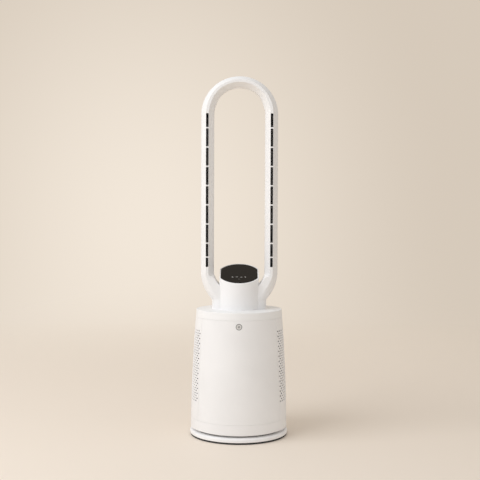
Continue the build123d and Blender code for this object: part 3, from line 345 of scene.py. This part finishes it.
def turned_ring(name, profile, finish, body):
    """A closed profile of (radius, height) turned about the vertical axis."""
    points, faces = [], []
    count = len(profile)
    for k in range(TURN_STEPS):
        a = 2 * math.pi * k / TURN_STEPS
        points += [(r * math.sin(a), -r * math.cos(a), z) for r, z in profile]
    for k in range(TURN_STEPS):
        here, there = k * count, (k + 1) % TURN_STEPS * count
        for t in range(count):
            u = (t + 1) % count
            faces.append([here + t, there + t, there + u, here + u])
    add_mesh(name, points, faces, finish, body)


# the skirt's lower edge turns in under the pan, and hangs in front of the dark dust ring
SKIRT_LIP = (
    (131.3, 23.15), (131.3, 23.0), (124.0, 23.0), (123.3, 22.8), (122.8, 22.3), (122.6, 21.6),
    (122.6, 19.5), (122.5, 19.3), (122.3, 19.3), (122.2, 19.5), (122.2, 23.15),
)
turned_ring("skirt_lip", SKIRT_LIP, "white_plastic", "tower")

# a soft ring under the disc's rim closes the gap to the floor; it is dark rubber, and its dark
# band is partly painted shade for the shadow under the rim
SOLE_RING_AND_SHADE = ((131.6, 4.9), (131.6, 0.6), (132.0, 0.3), (133.8, 0.3), (134.2, 0.7), (134.2, 4.9))
turned_ring("sole_ring_and_shade", SOLE_RING_AND_SHADE, "rubber", "base")


# ---------------------------------------------------------------- grilles
GRILLE_START, GRILLE_END = 57.4, 128.0
GRILLE_BOTTOM, GRILLE_TOP = 100.0, 298.0
GRILLE_ROWS, GRILLE_COLUMNS = 29, 12
GRILLE_WALL = 2.6
GRILLE_BORDER = 1.0
HOLE_WIDTH, HOLE_HEIGHT = 7.8, 3.9
HOLE_BEVEL = 0.5
SIDE_STEPS = 6  # divisions along a cell's long side
DIAGONAL = 0.7071


def grille(name, start, stands_for):
    """Perforated window of the rear cover: staggered oval holes in a curved wall."""
    pitch_z = (GRILLE_TOP - GRILLE_BOTTOM) / GRILLE_ROWS
    pitch_a = (GRILLE_END - GRILLE_START) / (GRILLE_COLUMNS + 0.5)
    points, faces, index = [], [], {}

    def vertex(azimuth, z, inset):
        key = (round(azimuth, 4), round(z, 4), inset)
        if key not in index:
            index[key] = len(points)
            points.append(on_body(azimuth, z, inset))
        return index[key]

    def face(*corners):
        faces.append([vertex(*corner) for corner in corners])

    def flat(corners, inset):
        face(*[(a, z, inset) for a, z in corners])

    # a hole's outline has as many points as its cell's, and starts at the same corner
    half_h = HOLE_HEIGHT / 2
    straight = HOLE_WIDTH / 2 - half_h
    slant = half_h * DIAGONAL
    lower = [(-straight - slant, -slant)]
    lower += [(straight * (2 * k / (SIDE_STEPS - 2) - 1), -half_h) for k in range(SIDE_STEPS - 1)]
    lower.append((straight + slant, -slant))
    hole = (lower + [(straight + half_h, 0.0)] + [(-u, -v) for u, v in lower]
            + [(-straight - half_h, 0.0)])
    shares = [k / SIDE_STEPS for k in range(SIDE_STEPS + 1)]

    def rim(centre, mid, grow):
        degree = math.degrees(1.0 / body_radius(mid))
        return [(centre + (u + grow * math.copysign(1, u) * (abs(u) > straight)) * degree,
                 mid + v * (1 + grow / half_h)) for u, v in hole]

    for row in range(GRILLE_ROWS):
        low = GRILLE_BOTTOM + row * pitch_z
        high = low + pitch_z
        mid = (low + high) / 2
        shift = (row % 2) * 0.5 * pitch_a
        for column in range(GRILLE_COLUMNS):
            left = start + shift + column * pitch_a
            ring = [(left + pitch_a * share, low) for share in shares] + [(left + pitch_a, mid)]
            ring += [(left + pitch_a * (1 - share), high) for share in shares] + [(left, mid)]
            bevel = rim(left + pitch_a / 2, mid, HOLE_BEVEL)
            edge = rim(left + pitch_a / 2, mid, 0.0)
            # from the cell's outline over the bevel and through the wall to its back
            lanes = ((ring, 0.0), (bevel, 0.0), (edge, HOLE_BEVEL), (edge, GRILLE_WALL),
                     (ring, GRILLE_WALL))
            for k in range(len(ring)):
                j = (k + 1) % len(ring)
                for (here, inset), (there, deeper) in zip(lanes, lanes[1:]):
                    face((*here[k], inset), (*here[j], inset),
                         (*there[j], deeper), (*there[k], deeper))
        # the half cell that is left over at one end of each row
        first = start if row % 2 else start + GRILLE_COLUMNS * pitch_a
        for k in range(SIDE_STEPS // 2):
            a, b = first + pitch_a * k / SIDE_STEPS, first + pitch_a * (k + 1) / SIDE_STEPS
            for inset in (0.0, GRILLE_WALL):
                if k == 0 and not row % 2:
                    flat([(a, low), (b, low), (b, high), (a, high), (a, mid)], inset)
                elif k == SIDE_STEPS // 2 - 1 and row % 2:
                    flat([(a, low), (b, low), (b, mid), (b, high), (a, high)], inset)
                else:
                    flat([(a, low), (b, low), (b, high), (a, high)], inset)
    # plain borders above and below, and the four edges of the wall
    steps = SIDE_STEPS * GRILLE_COLUMNS + SIDE_STEPS // 2
    along = [start + pitch_a * k / SIDE_STEPS for k in range(steps + 1)]
    lowest, highest = GRILLE_BOTTOM - GRILLE_BORDER, GRILLE_TOP + GRILLE_BORDER
    for a, b in zip(along, along[1:]):
        for inset in (0.0, GRILLE_WALL):
            for low, high in ((GRILLE_TOP, highest), (lowest, GRILLE_BOTTOM)):
                flat([(a, low), (b, low), (b, high), (a, high)], inset)
        for z in (lowest, highest):
            face((a, z, 0.0), (b, z, 0.0), (b, z, GRILLE_WALL), (a, z, GRILLE_WALL))
    levels = [lowest] + [GRILLE_BOTTOM + r * pitch_z for r in range(GRILLE_ROWS + 1)] + [highest]
    for end, parity in ((start, 0), (along[-1], 1)):
        for k, (low, high) in enumerate(zip(levels, levels[1:])):
            row = k - 1
            has_mid = 0 <= row < GRILLE_ROWS and row % 2 == parity
            stops = [low, (low + high) / 2, high] if has_mid else [low, high]
            for z0, z1 in zip(stops, stops[1:]):
                face((end, z0, 0.0), (end, z1, 0.0), (end, z1, GRILLE_WALL),
                     (end, z0, GRILLE_WALL))
    add_mesh(name, points, faces, "white_plastic", "rear_cover", stands_for)


grille("grille_mesh_right", GRILLE_START, ["grille_right"])
grille("grille_mesh_left", 360 - GRILLE_END, ["grille_left"])

SCREEN_PITCH, SCREEN_THREAD = 2.2, 0.8
SCREEN_DEPTH = 3.2
SCREEN_MARGIN = 0.5
UPRIGHT_STEPS, COURSE_STEPS = 12, 24


def dust_screen_and_shade(name, start):
    """Net of dark threads held against the inside of a grille; its darkness is partly painted
    shade, for the shade inside the holes.
    """
    points, faces = [], []
    end = start + GRILLE_END - GRILLE_START - SCREEN_MARGIN
    start += SCREEN_MARGIN
    low, high = GRILLE_BOTTOM + SCREEN_MARGIN, GRILLE_TOP - SCREEN_MARGIN

    def thread(path):
        first = len(points)
        for ring in path:
            points.extend(on_body(azimuth, z, inset) for azimuth, z, inset in ring)
        for s in range(len(path) - 1):
            for t in range(4):
                a, b = first + 4 * s + t, first + 4 * s + (t + 1) % 4
                faces.append([a, b, b + 4, a + 4])
        last = first + 4 * (len(path) - 1)
        faces.append([first + 3, first + 2, first + 1, first])
        faces.append([last, last + 1, last + 2, last + 3])

    def corners(azimuth, z, wide, tall, inset):
        return [(azimuth - wide, z - tall, inset), (azimuth + wide, z + tall, inset),
                (azimuth + wide, z + tall, inset + SCREEN_THREAD),
                (azimuth - wide, z - tall, inset + SCREEN_THREAD)]

    half = SCREEN_THREAD / 2
    degree = math.degrees(1.0 / BODY_TOP_RADIUS)
    uprights = round((end - start) / degree / SCREEN_PITCH)
    for k in range(uprights + 1):
        azimuth = start + (end - start) * k / uprights
        thread([corners(azimuth, low + (high - low) * j / UPRIGHT_STEPS, half * degree, 0.0,
                        SCREEN_DEPTH) for j in range(UPRIGHT_STEPS + 1)])
    courses = round((high - low) / SCREEN_PITCH)
    for k in range(courses + 1):
        z = low + (high - low) * k / courses
        thread([corners(start + (end - start) * j / COURSE_STEPS, z, 0.0, half,
                        SCREEN_DEPTH + half) for j in range(COURSE_STEPS + 1)])
    add_mesh(name, points, faces, "dark_plastic", "rear_cover")


# the dark nets behind the grilles: a dust screen, and partly painted shade that darkens the holes
dust_screen_and_shade("dust_screen_and_shade_right", GRILLE_START)
dust_screen_and_shade("dust_screen_and_shade_left", 360 - GRILLE_END)


# ---------------------------------------------------------------- hoop
HOOP_OUTER, HOOP_INNER = 107.5, 71.0
HOOP_CENTRE = (HOOP_OUTER + HOOP_INNER) / 2
HOOP_HALF = (HOOP_OUTER - HOOP_INNER) / 2
# the leg's section from front to rear: depths, then half widths
HOOP_NOSE, HOOP_SHOULDER, HOOP_BULGE, HOOP_SIDE = -30.0, -11.0, 2.0, 8.0
HOOP_FLANK, HOOP_TAIL, HOOP_TIP = 24.0, 38.0, 41.2
NOSE_HALF, SHOULDER_HALF, SIDE_HALF, FLANK_HALF, TAIL_HALF = 4.0, 15.6, 18.0, 14.4, 5.5
SHOULDER_IN, SHOULDER_BACK, TAIL_IN = 0.9, 0.3, 0.4  # how the wall's inside follows its outside
ROUND_STEPS, CHEEK_STEPS, GIRTH_STEPS, BACK_STEPS, TAIL_STEPS = 5, 8, 14, 18, 6
HOOP_BOTTOM_CENTRE = 454.0
HOOP_TOP_CENTRE = 1000.0 - HOOP_OUTER
HOOP_WALL = 2.4
HOOP_SPLIT, GROOVE = 1.0, 0.3
NOSE_ROUND = 0.7
ARCH_THINNING = 0.105
ARCH_FROM, ARCH_FULL = 0.3, 0.9
ARCH_STEPS = 96
BRANCH_TOP = HOOP_BOTTOM_CENTRE
SLOT_HALF = 3.55
SLOT_ROUND = 1.2
SLOT_RIB = 3.4
SLOT_STEP = 12.0
CORNER_TUCK = 0.293  # how far in the middle of a rounded corner lies, for a radius of 1
CLOSE = 1e-6
# the ends of a row of slots, and the middles of its ribs between them
SLOT_STOPS = [468.9, 496.2] + [534.8 + 53.15 * k for k in range(7)] + [893.8]


def leg_runs(inset):
    """Right half of the hoop's section in runs: flat nose, cheek, girth, back and tail."""
    nose = (NOSE_HALF, HOOP_NOSE + inset)
    shoulder = (SHOULDER_HALF - inset * SHOULDER_IN, HOOP_SHOULDER + inset * SHOULDER_BACK)
    bulge = (HOOP_HALF - inset, HOOP_BULGE)
    side = (SIDE_HALF - inset, HOOP_SIDE)
    flank = (FLANK_HALF - inset, HOOP_FLANK)
    tail = (TAIL_HALF - inset * TAIL_IN, HOOP_TAIL - inset)
    tip = (0.0, HOOP_TIP - inset)
    slope = math.atan2(shoulder[1] - nose[1], shoulder[0] - nose[0])
    flat_end = NOSE_HALF - NOSE_ROUND * math.tan(slope / 2)
    flat = [(0.0, nose[1]), (SLOT_HALF - SLOT_ROUND, nose[1]), (SLOT_HALF, nose[1])]
    cheek = []
    for k in range(ROUND_STEPS + 1):
        turn = slope * k / ROUND_STEPS
        cheek.append((flat_end + NOSE_ROUND * math.sin(turn),
                      nose[1] + NOSE_ROUND - NOSE_ROUND * math.cos(turn)))
    start = cheek[-1]
    cheek += [(start[0] + (shoulder[0] - start[0]) * k / CHEEK_STEPS,
               start[1] + (shoulder[1] - start[1]) * k / CHEEK_STEPS)
              for k in range(1, CHEEK_STEPS)]
    # the girth carries the parting line's groove on the outside
    arc = arc_through(shoulder, bulge, side, GIRTH_STEPS)
    depth = GROOVE if inset == 0.0 else 0.0
    girth = []
    for (x0, y0), (x1, y1) in zip(arc, arc[1:] + [side]):
        girth.append((x0, y0))
        if y0 < HOOP_SPLIT <= y1:
            for offset, sink in ((-GROOVE, 0.0), (-GROOVE / 2, depth), (GROOVE / 2, depth),
                                 (GROOVE, 0.0)):
                y = HOOP_SPLIT + offset
                girth.append((x0 + (x1 - x0) * (y - y0) / (y1 - y0) - sink, y))
    back = arc_through(side, flank, tail, BACK_STEPS)
    tail_run = arc_through(tail, tip, (-tail[0], tail[1]), 2 * TAIL_STEPS)[:TAIL_STEPS] + [tip]
    return [flat, cheek, girth, back, tail_run]


def wedge_outline(inset):
    """The hoop's whole section: the right half and its mirror image."""
    right = [p for run in leg_runs(inset) for p in run]
    return right + [(-x, y) for x, y in right[-2:0:-1]]


def ease(share):
    """From 0 to 1 with a soft start and end."""
    share = min(1.0, max(0.0, share))
    return share * share * (3 - 2 * share)


def slot_spans():
    """Lowest and highest point of each slot in a row, between its ribs."""
    last = len(SLOT_STOPS) - 2
    return [(low + (SLOT_RIB / 2 if k else 0.0), high - (SLOT_RIB / 2 if k < last else 0.0))
            for k, (low, high) in enumerate(zip(SLOT_STOPS, SLOT_STOPS[1:]))]


def leg_stations():
    """Stations up the right leg: a mark says where a slot starts or ends."""
    stations = [((HOOP_CENTRE, BRANCH_TOP), (1.0, 0.0), None)]
    for low, high in slot_spans():
        stops = [(low, "low"), (low + SLOT_ROUND, "in")]
        middle = max(1, round((high - low) / SLOT_STEP))
        inner = [low + SLOT_ROUND + (high - low - 2 * SLOT_ROUND) * k / middle
                 for k in range(1, middle)]
        stops += [(z, "in") for z in inner] + [(high - SLOT_ROUND, "in"), (high, "high")]
        stations += [((HOOP_CENTRE, z), (1.0, 0.0), mark) for z, mark in stops]
    return stations


def arch_stations():
    """Stations over the top: the section thins towards the top, its outer edge on the circle."""
    stations = []
    for k in range(1, ARCH_STEPS):
        side, up = math.cos(math.pi * k / ARCH_STEPS), math.sin(math.pi * k / ARCH_STEPS)
        width = 1 - ARCH_THINNING * ease((up - ARCH_FROM) / (ARCH_FULL - ARCH_FROM))
        middle = HOOP_OUTER - HOOP_HALF * width
        stations.append(((middle * side, HOOP_TOP_CENTRE + middle * up),
                         (width * side, width * up), None))
    return stations


def mirrored(stations):
    """The same stations for the left leg."""
    return [((-x, z), (-dx, dz), mark) for (x, z), (dx, dz), mark in stations]


def sweep(stations, inset):
    """Rings of points in space, one for each station; a slot's corners are drawn in."""
    rings = []
    for (x, z), (dx, dz), mark in stations:
        ring = []
        for u, v in wedge_outline(inset):
            shift = 0.0
            if mark in ("low", "high") and abs(abs(u) - SLOT_HALF) < CLOSE and v < HOOP_SHOULDER:
                tuck = SLOT_ROUND * CORNER_TUCK
                u -= math.copysign(tuck, u)
                shift = tuck if mark == "low" else -tuck
            ring.append((x + dx * u, v, z + dz * u + shift))
        rings.append(ring)
    return rings


def hoop_skin():
    """The whole hoop, hollow, with rounded slots in the nose of each leg."""
    right = leg_stations()
    stations = right + arch_stations() + mirrored(right)[::-1]
    outer, inner = sweep(stations, 0.0), sweep(stations, HOOP_WALL)
    width = len(outer[0])
    points = [p for ring in outer for p in ring] + [p for ring in inner for p in ring]
    base = len(outer) * width
    open_columns = {0, 1, width - 1, width - 2}  # the nose's strips, from side to side of a slot
    faces = []

    def is_open(s, t):
        """Whether a slot runs between two stations here; a rib runs from its high to a low."""
        if t not in open_columns or s < 0 or s >= len(stations) - 1:
            return False
        marks = {stations[s][2], stations[s + 1][2]}
        return None not in marks and marks != {"low", "high"}

    for s in range(len(stations) - 1):
        for t in range(width):
            u = (t + 1) % width
            a, b, c, d = s * width + t, s * width + u, (s + 1) * width + u, (s + 1) * width + t
            if not is_open(s, t):
                faces.append([a, b, c, d])
                faces.append([base + a, base + d, base + c, base + b])
                continue
            if not is_open(s - 1, t):
                faces.append([a, b, base + b, base + a])
            if not is_open(s + 1, t):
                faces.append([d, c, base + c, base + d])
            if not is_open(s, (t - 1) % width):
                faces.append([a, d, base + d, base + a])
            if not is_open(s, u):
                faces.append([b, c, base + c, base + b])
    for s in (0, len(stations) - 1):
        for t in range(width):
            u = (t + 1) % width
            faces.append([s * width + t, s * width + u, base + s * width + u,
                          base + s * width + t])
    add_mesh("hoop_skin", points, faces, "white_plastic", "tower",
             ["hoop_front", "hoop_rear"], HOOP_SMOOTH_ANGLE)


hoop_skin()


# ---------------------------------------------------------------- neck
COLUMN_RADIUS, COLUMN_FLAT = 61.0, 54.5
COLUMN_ARC_STEPS, COLUMN_FLAT_STEPS = 40, 12
DISPLAY_HEIGHT, DISPLAY_SLOPE = 449.5, 0.40
RIM_ROUND, RIM_STEPS = 0.7, 4
# margin and depth of the rim's inner side, from the crest over a chamfer down past the glass
RIM_INSIDE = ((2.2, 0.0), (2.5, 0.1), (2.8, 0.4), (2.8, 3.2))
COLLAR_FRONT, COLLAR_REAR, COLLAR_HALF = -33.0, 44.0, 76.4
COLLAR_CORNER, COLLAR_TOP = 30.0, 378.8
COLLAR_SOFT = 3.0
# heights down the right branch, and where its inner face stands at each
BRANCH_STATIONS = (
    (454.0, 71.0), (451.0, 70.9), (448.0, 70.6), (445.0, 70.0), (439.0, 68.3), (431.0, 64.6),
    (423.0, 58.8), (415.0, 51.2), (405.0, 43.2), (395.0, 37.6), (386.0, 34.4), (380.0, 33.4),
    (374.0, 33.0), (340.0, 33.0),
)
BLOCK_TOP = 446.0
BRANCH_TURN = 9.0
BRANCH_EDGE = 2.5
OUTER_SPLIT, INNER_SPLIT = 0.18, 0.5  # shares of the back that stay on a block's side
# rings down a branch: close together where it turns away from the leg, then wider apart
FINE_STEP, FINE_STEPS = 0.75, 24
COARSE_STEP, LAST_STEP = 2.0, 2.5


def inner_face(z):
    """Where the inner face of the right branch stands at a height, smooth through the stations."""
    table = BRANCH_STATIONS
    for k in range(len(table) - 1):
        (z0, x0), (z1, x1) = table[k], table[k + 1]
        if z >= z1:
            before = table[k - 1] if k else (2 * z0 - z1, x0)
            after = table[k + 2] if k + 2 < len(table) else (2 * z1 - z0, x1)
            m0 = (x1 - before[1]) / (z1 - before[0]) * (z1 - z0)
            m1 = (after[1] - x0) / (after[0] - z0) * (z1 - z0)
            t = (z - z0) / (z1 - z0)
            return ((2 * t**3 - 3 * t**2 + 1) * x0 + (t**3 - 2 * t**2 + t) * m0
                    + (-2 * t**3 + 3 * t**2) * x1 + (t**3 - t**2) * m1)
    return table[-1][1]


def outer_face(z):
    """Outer face of the branch: the hoop's circle, then the collar's side, softly joined."""
    drop = max(0.0, HOOP_BOTTOM_CENTRE - z)
    beyond = math.sqrt(max(0.0, HOOP_OUTER**2 - drop**2)) - COLLAR_HALF
    return COLLAR_HALF + (beyond + math.sqrt(beyond**2 + COLLAR_SOFT**2)) / 2 - (
        COLLAR_SOFT**2 / 4 / max(beyond, COLLAR_SOFT))


def block_half(middle, side, corner, front, rear, split):
    """Half of a rounded block in the same runs as a leg, as far along each as the leg's points."""
    low, high = front + corner, rear - corner
    waist = min(high, HOOP_SIDE)
    sign = 1.0 if side > middle else -1.0
    core = side - sign * corner
    flat, cheek, girth, back, tail_run = leg_runs(0.0)

    def shares(run, end):
        stops = [0.0]
        for a, b in zip(run, run[1:] + [end]):
            stops.append(stops[-1] + math.dist(a, b))
        return [stop / stops[-1] for stop in stops[:-1]]

    points = [(middle + (core - middle) * x / NOSE_HALF, front) for x, y in flat]
    for share in shares(cheek, girth[0]):
        a = share * math.pi / 2
        points.append((core + sign * corner * math.sin(a), low - corner * math.cos(a)))
    points += [(side, low + (waist - low) * share) for share in shares(girth, back[0])]
    for share in shares(back, tail_run[0]):
        if share <= split:
            points.append((side, waist + (high - waist) * share / split))
        else:
            a = (share - split) / (1 - split) * math.pi / 2
            points.append((core + sign * corner * math.cos(a), high + corner * math.sin(a)))
    count = len(tail_run) - 1
    points += [(core + (middle - core) * k / count, rear) for k in range(count + 1)]
    return points


def spanned(corner, other, share, rise=0.0):
    """A point between two corners: the first one for a share of 1, midway for 0."""
    middle = ((corner[0] + other[0]) / 2, (corner[1] + other[1]) / 2)
    return (middle[0] + (corner[0] - middle[0]) * share,
            middle[1] + (corner[1] - middle[1]) * share + rise)


def branch_ring(z):
    """Points round the right branch at a height, in the order of the leg's section."""
    outside, inside = outer_face(z), inner_face(z)
    into_collar = ease((BRANCH_TOP - z) / (BRANCH_TOP - COLLAR_TOP))
    into_block = ease((BLOCK_TOP - z) / BRANCH_TURN)
    front = HOOP_NOSE + (COLLAR_FRONT - HOOP_NOSE) * into_collar
    rear = HOOP_TAIL + (COLLAR_REAR - HOOP_TAIL) * into_collar
    runs = leg_runs(0.0)
    leg = [p for run in runs for p in run]
    middle = (outside - COLLAR_CORNER + inside + BRANCH_EDGE) / 2
    outer = block_half(middle, outside, COLLAR_CORNER, COLLAR_FRONT, COLLAR_REAR, OUTER_SPLIT)
    near = block_half(middle, inside, BRANCH_EDGE, front, rear, INNER_SPLIT)
    right = [(outside - HOOP_HALF + x + (bx - outside + HOOP_HALF - x) * into_collar,
              y + (by - y) * into_collar) for (x, y), (bx, by) in zip(leg, outer)]
    left = [(inside + HOOP_HALF - x + (bx - inside - HOOP_HALF + x) * into_block,
             y + (by - y) * into_block) for (x, y), (bx, by) in zip(leg, near)]
    # the flat nose and the tail span from side to side without a step
    flats = len(runs[0])
    nose_out, nose_in = right[flats], left[flats]
    for k in range(flats):
        share = leg[k][0] / NOSE_HALF
        right[k] = spanned(nose_out, nose_in, share)
        left[k] = spanned(nose_in, nose_out, share)
    first = len(leg) - len(runs[-1])
    tail_out, tail_in = right[first], left[first]
    crown = (HOOP_TIP - HOOP_TAIL) * (1 - into_collar)
    for k in range(first, len(leg)):
        share = leg[k][0] / leg[first][0]
        rise = (leg[k][1] - HOOP_TAIL) / (HOOP_TIP - HOOP_TAIL) * crown
        right[k] = spanned(tail_out, tail_in, share, rise)
        left[k] = spanned(tail_in, tail_out, share, rise)
    return [(x, y, z) for x, y in right + left[-2:0:-1]]


def closed_stack(rings):
    """A closed mesh through rings of equal size, capped at both ends."""
    width = len(rings[0])
    faces = [[s * width + t, s * width + (t + 1) % width, (s + 1) * width + (t + 1) % width,
              (s + 1) * width + t] for s in range(len(rings) - 1) for t in range(width)]
    faces.append(list(range(width))[::-1])
    faces.append([(len(rings) - 1) * width + t for t in range(width)])
    return [p for ring in rings for p in ring], faces


def column_ring(margin):
    """Plan of the column: a circle with a flat on each side, sampled evenly on both."""
    r, flat = COLUMN_RADIUS - margin, COLUMN_FLAT - margin
    corner = math.acos(flat / r)
    reach = math.pi / 2 - corner
    ring = []
    for side in (1, -1):
        middle = math.radians(-90.0 * side)
        turns = [middle + reach * (2 * k / COLUMN_ARC_STEPS - 1) for k in range(COLUMN_ARC_STEPS)]
        ring += [(r * math.cos(turn), r * math.sin(turn)) for turn in turns]
        ring += [(side * flat, -side * r * math.sin(corner) * (1 - 2 * k / COLUMN_FLAT_STEPS))
                 for k in range(COLUMN_FLAT_STEPS)]
    return ring


def column_mesh():
    """The display column with its rim round the recessed glass."""
    def level(margin, drop):
        return [(x, y, DISPLAY_HEIGHT + DISPLAY_SLOPE * y - drop) for x, y in column_ring(margin)]

    rings = [[(x, y, BODY_TOP) for x, y in column_ring(0.0)]]
    for k in range(RIM_STEPS + 1):
        turn = math.pi / 2 * k / RIM_STEPS
        rings.append(level(RIM_ROUND * (1 - math.cos(turn)), RIM_ROUND * (1 - math.sin(turn))))
    rings += [level(margin, drop) for margin, drop in RIM_INSIDE]
    return closed_stack(rings)


def neck_skin():
    """Column, and the two branches that run from the hoop into the collar in one sweep."""
    points, faces = column_mesh()
    heights = [BRANCH_TOP - FINE_STEP * k for k in range(FINE_STEPS)]
    while heights[-1] > BODY_TOP + LAST_STEP:
        heights.append(heights[-1] - COARSE_STEP)
    heights.append(BODY_TOP)
    rings = [branch_ring(z) for z in heights]
    for side in (1, -1):
        more_points, more_faces = closed_stack([[(side * x, y, z) for x, y, z in ring]
                                                for ring in rings])
        start = len(points)
        points += more_points
        faces += [[i + start for i in face] for face in more_faces]
    add_mesh("neck_skin", points, faces, "white_plastic", "tower", ["neck_shell"],
             NECK_SMOOTH_ANGLE)


neck_skin()


# ---------------------------------------------------------------- display marks
MARK_LIFT = 0.06
MARK_LINE, INDICATOR_LINE = 0.85, 1.3
MARK_ROW, POWER_ROW = -22.5, -36.0
GLASS_DROP = 0.5  # from the rim's crest down to the glass
INDICATOR_HEIGHT, LENS_PROUD = 313.5, 0.1


def on_display(u, v):
    """A point on the glass, u across and v up its slope from the middle, in millimetres."""
    tilt = math.atan(DISPLAY_SLOPE)
    drop = GLASS_DROP - MARK_LIFT
    return (u, v * math.cos(tilt) + drop * math.sin(tilt),
            DISPLAY_HEIGHT + v * math.sin(tilt) - drop * math.cos(tilt))


def on_indicator(x, z):
    """A point on the face of the round indicator."""
    return (x, -body_radius(INDICATOR_HEIGHT) - LENS_PROUD - MARK_LIFT, z)


def arc_path(cx, cy, radius, start, end, steps):
    """Points along an arc, from one angle in degrees to another."""
    turns = [math.radians(start + (end - start) * k / steps) for k in range(steps + 1)]
    return [(cx + radius * math.cos(turn), cy + radius * math.sin(turn)) for turn in turns]


def add_mark(name, middle, paths, finish, place=on_display, width=MARK_LINE):
    """A printed mark: flat ribbons along paths round a middle, in one thin piece."""
    points, faces = [], []
    for path in paths:
        count, start = len(path), len(points)
        for k, (x, y) in enumerate(path):
            (x0, y0), (x1, y1) = path[max(0, k - 1)], path[min(count - 1, k + 1)]
            length = math.hypot(x1 - x0, y1 - y0)
            nx, ny = -(y1 - y0) / length * width / 2, (x1 - x0) / length * width / 2
            points += [place(middle[0] + x + nx, middle[1] + y + ny),
                       place(middle[0] + x - nx, middle[1] + y - ny)]
        faces += [[start + 2 * k, start + 2 * k + 1, start + 2 * k + 3, start + 2 * k + 2]
                  for k in range(count - 1)]
    add_mesh(name, points, faces, finish, "tower")


def add_marks():
    """Generic touch marks in a row, the power key below them, and the indicator's mark."""
    blades = [arc_path(1.5 * math.cos(math.radians(turn)), 1.5 * math.sin(math.radians(turn)),
                       0.95, turn - 150, turn + 150, 16) for turn in (90, 210, 330)]
    arrows = [[(side * 1.075, -0.1), (side * 2.375, 0.2), (side * 2.475, 1.6)]
              for side in (-1, 1)]
    add_mark("mark_fan", (-18.2, MARK_ROW), blades + [arc_path(0.0, 0.0, 0.35, 0, 330, 12)],
             "mark_grey")
    add_mark("mark_swing", (-6.4, MARK_ROW), [arc_path(0.0, -0.8, 2.5, 25, 155, 24)] + arrows,
             "mark_grey")
    add_mark("mark_timer", (6.0, MARK_ROW),
             [arc_path(0.0, 0.0, 2.1, 0, 352, 32), [(0.0, 1.4), (0.0, 0.0), (1.1, 0.0)]],
             "mark_grey")
    add_mark("mark_night", (18.3, MARK_ROW),
             [arc_path(0.0, 0.0, 2.1, 60, 300, 28), arc_path(1.3, 0.0, 1.75, 100, 260, 24)],
             "mark_grey")
    add_mark("mark_power", (0.0, POWER_ROW),
             [arc_path(0.0, 0.0, 2.6, 120, 420, 32), [(0.0, 0.6), (0.0, 3.2)]], "mark_dim")
    add_mark("mark_indicator", (0.0, INDICATOR_HEIGHT),
             [arc_path(0.0, 0.0, 2.3, 125, 415, 32), [(0.0, 0.6), (0.0, 3.0)]], "mark_lens",
             on_indicator, INDICATOR_LINE)


add_marks()


# ---------------------------------------------------------------- floor and backdrop
FLOOR_COLOR = (0.88, 0.79, 0.69)
WALL_COLOR = (0.99, 0.90, 0.79)
FLOOR_ROUGHNESS, FLOOR_SPECULAR = 0.6, 0.3
WALL_Y, WALL_TOP = 3.2, 5.0
BLEND_START = 0.2
SWEEP_RADIUS, SWEEP_STEPS = 0.8, 16
STAGE_HALF = 7.0
FADE = (0.9, 3.0)  # distances at which the lit floor starts and ends its fade
# the glow is painted light: a brighter patch painted into the background's colour
GLOW_SCALE = (1.0, 0.25, 0.8)
GLOW_CENTRE = (-0.6, 0.7, 0.45)
GLOW_REACH = 2.05
GLOW_COLOR = (0.89, 0.80, 0.695)


def measured(tree, operation, vector, *second):
    """A VectorMath node on a vector, and on a second one where the operation has it."""
    node = tree.nodes.new("ShaderNodeVectorMath")
    node.operation = operation
    tree.links.new(vector, node.inputs[0])
    for value in second:
        node.inputs[1].default_value = value
    return node.outputs


def backdrop_material():
    """Lit floor near the object, which fades into a plain background with a soft glow of painted
    light, brighter towards the left.
    """
    mat, tree, shader = new_material("backdrop")
    out = next(node for node in tree.nodes if node.type == "OUTPUT_MATERIAL")
    place = tree.nodes.new("ShaderNodeTexCoord").outputs["Object"]
    split = tree.nodes.new("ShaderNodeSeparateXYZ")
    tree.links.new(place, split.inputs[0])
    along = ranged(tree, split.outputs["Y"], 0.0, 1.0, BLEND_START, WALL_Y)
    tree.links.new(tinted(tree, along, FLOOR_COLOR, WALL_COLOR, (0.0, 1.0)),
                   shader.inputs["Base Color"])
    shader.inputs["Roughness"].default_value = FLOOR_ROUGHNESS
    shader.inputs["Specular IOR Level"].default_value = FLOOR_SPECULAR
    away = ranged(tree, measured(tree, "LENGTH", place)["Value"], 0.0, 1.0, *FADE)
    flattened = measured(tree, "MULTIPLY", place, GLOW_SCALE)["Vector"]
    distance = measured(tree, "DISTANCE", flattened, GLOW_CENTRE)["Value"]
    lit = ranged(tree, distance, 1.0, 0.0, 0.0, GLOW_REACH)
    background_glow = tree.nodes.new("ShaderNodeEmission")
    tree.links.new(tinted(tree, lit, BACKDROP_COLOR, GLOW_COLOR, (0.0, 1.0), "EASE"),
                   background_glow.inputs["Color"])
    blend = tree.nodes.new("ShaderNodeMixShader")
    tree.links.new(computed(tree, "MULTIPLY", away, seen_directly(tree)), blend.inputs["Fac"])
    tree.links.new(shader.outputs[0], blend.inputs[1])
    tree.links.new(background_glow.outputs[0], blend.inputs[2])
    tree.links.new(blend.outputs[0], out.inputs["Surface"])
    return mat


def make_stage():
    """One wide sheet: the floor, a round sweep and the wall behind the object."""
    profile = [(-STAGE_HALF, 0.0), (WALL_Y - SWEEP_RADIUS, 0.0)]
    for step in range(1, SWEEP_STEPS + 1):
        turn = math.radians(90.0 * step / SWEEP_STEPS)
        profile.append((WALL_Y - SWEEP_RADIUS + SWEEP_RADIUS * math.sin(turn),
                        SWEEP_RADIUS - SWEEP_RADIUS * math.cos(turn)))
    profile.append((WALL_Y, WALL_TOP))
    count = len(profile)
    data = bpy.data.meshes.new("backdrop")
    data.from_pydata([(x, y, z) for x in (-STAGE_HALF, STAGE_HALF) for y, z in profile], [],
                     [(k, count + k, count + k + 1, k + 1) for k in range(count - 1)])
    data.shade_smooth()
    data.materials.append(backdrop_material())
    drop = bpy.data.objects.new("backdrop", data)
    bpy.context.scene.collection.objects.link(drop)


make_stage()
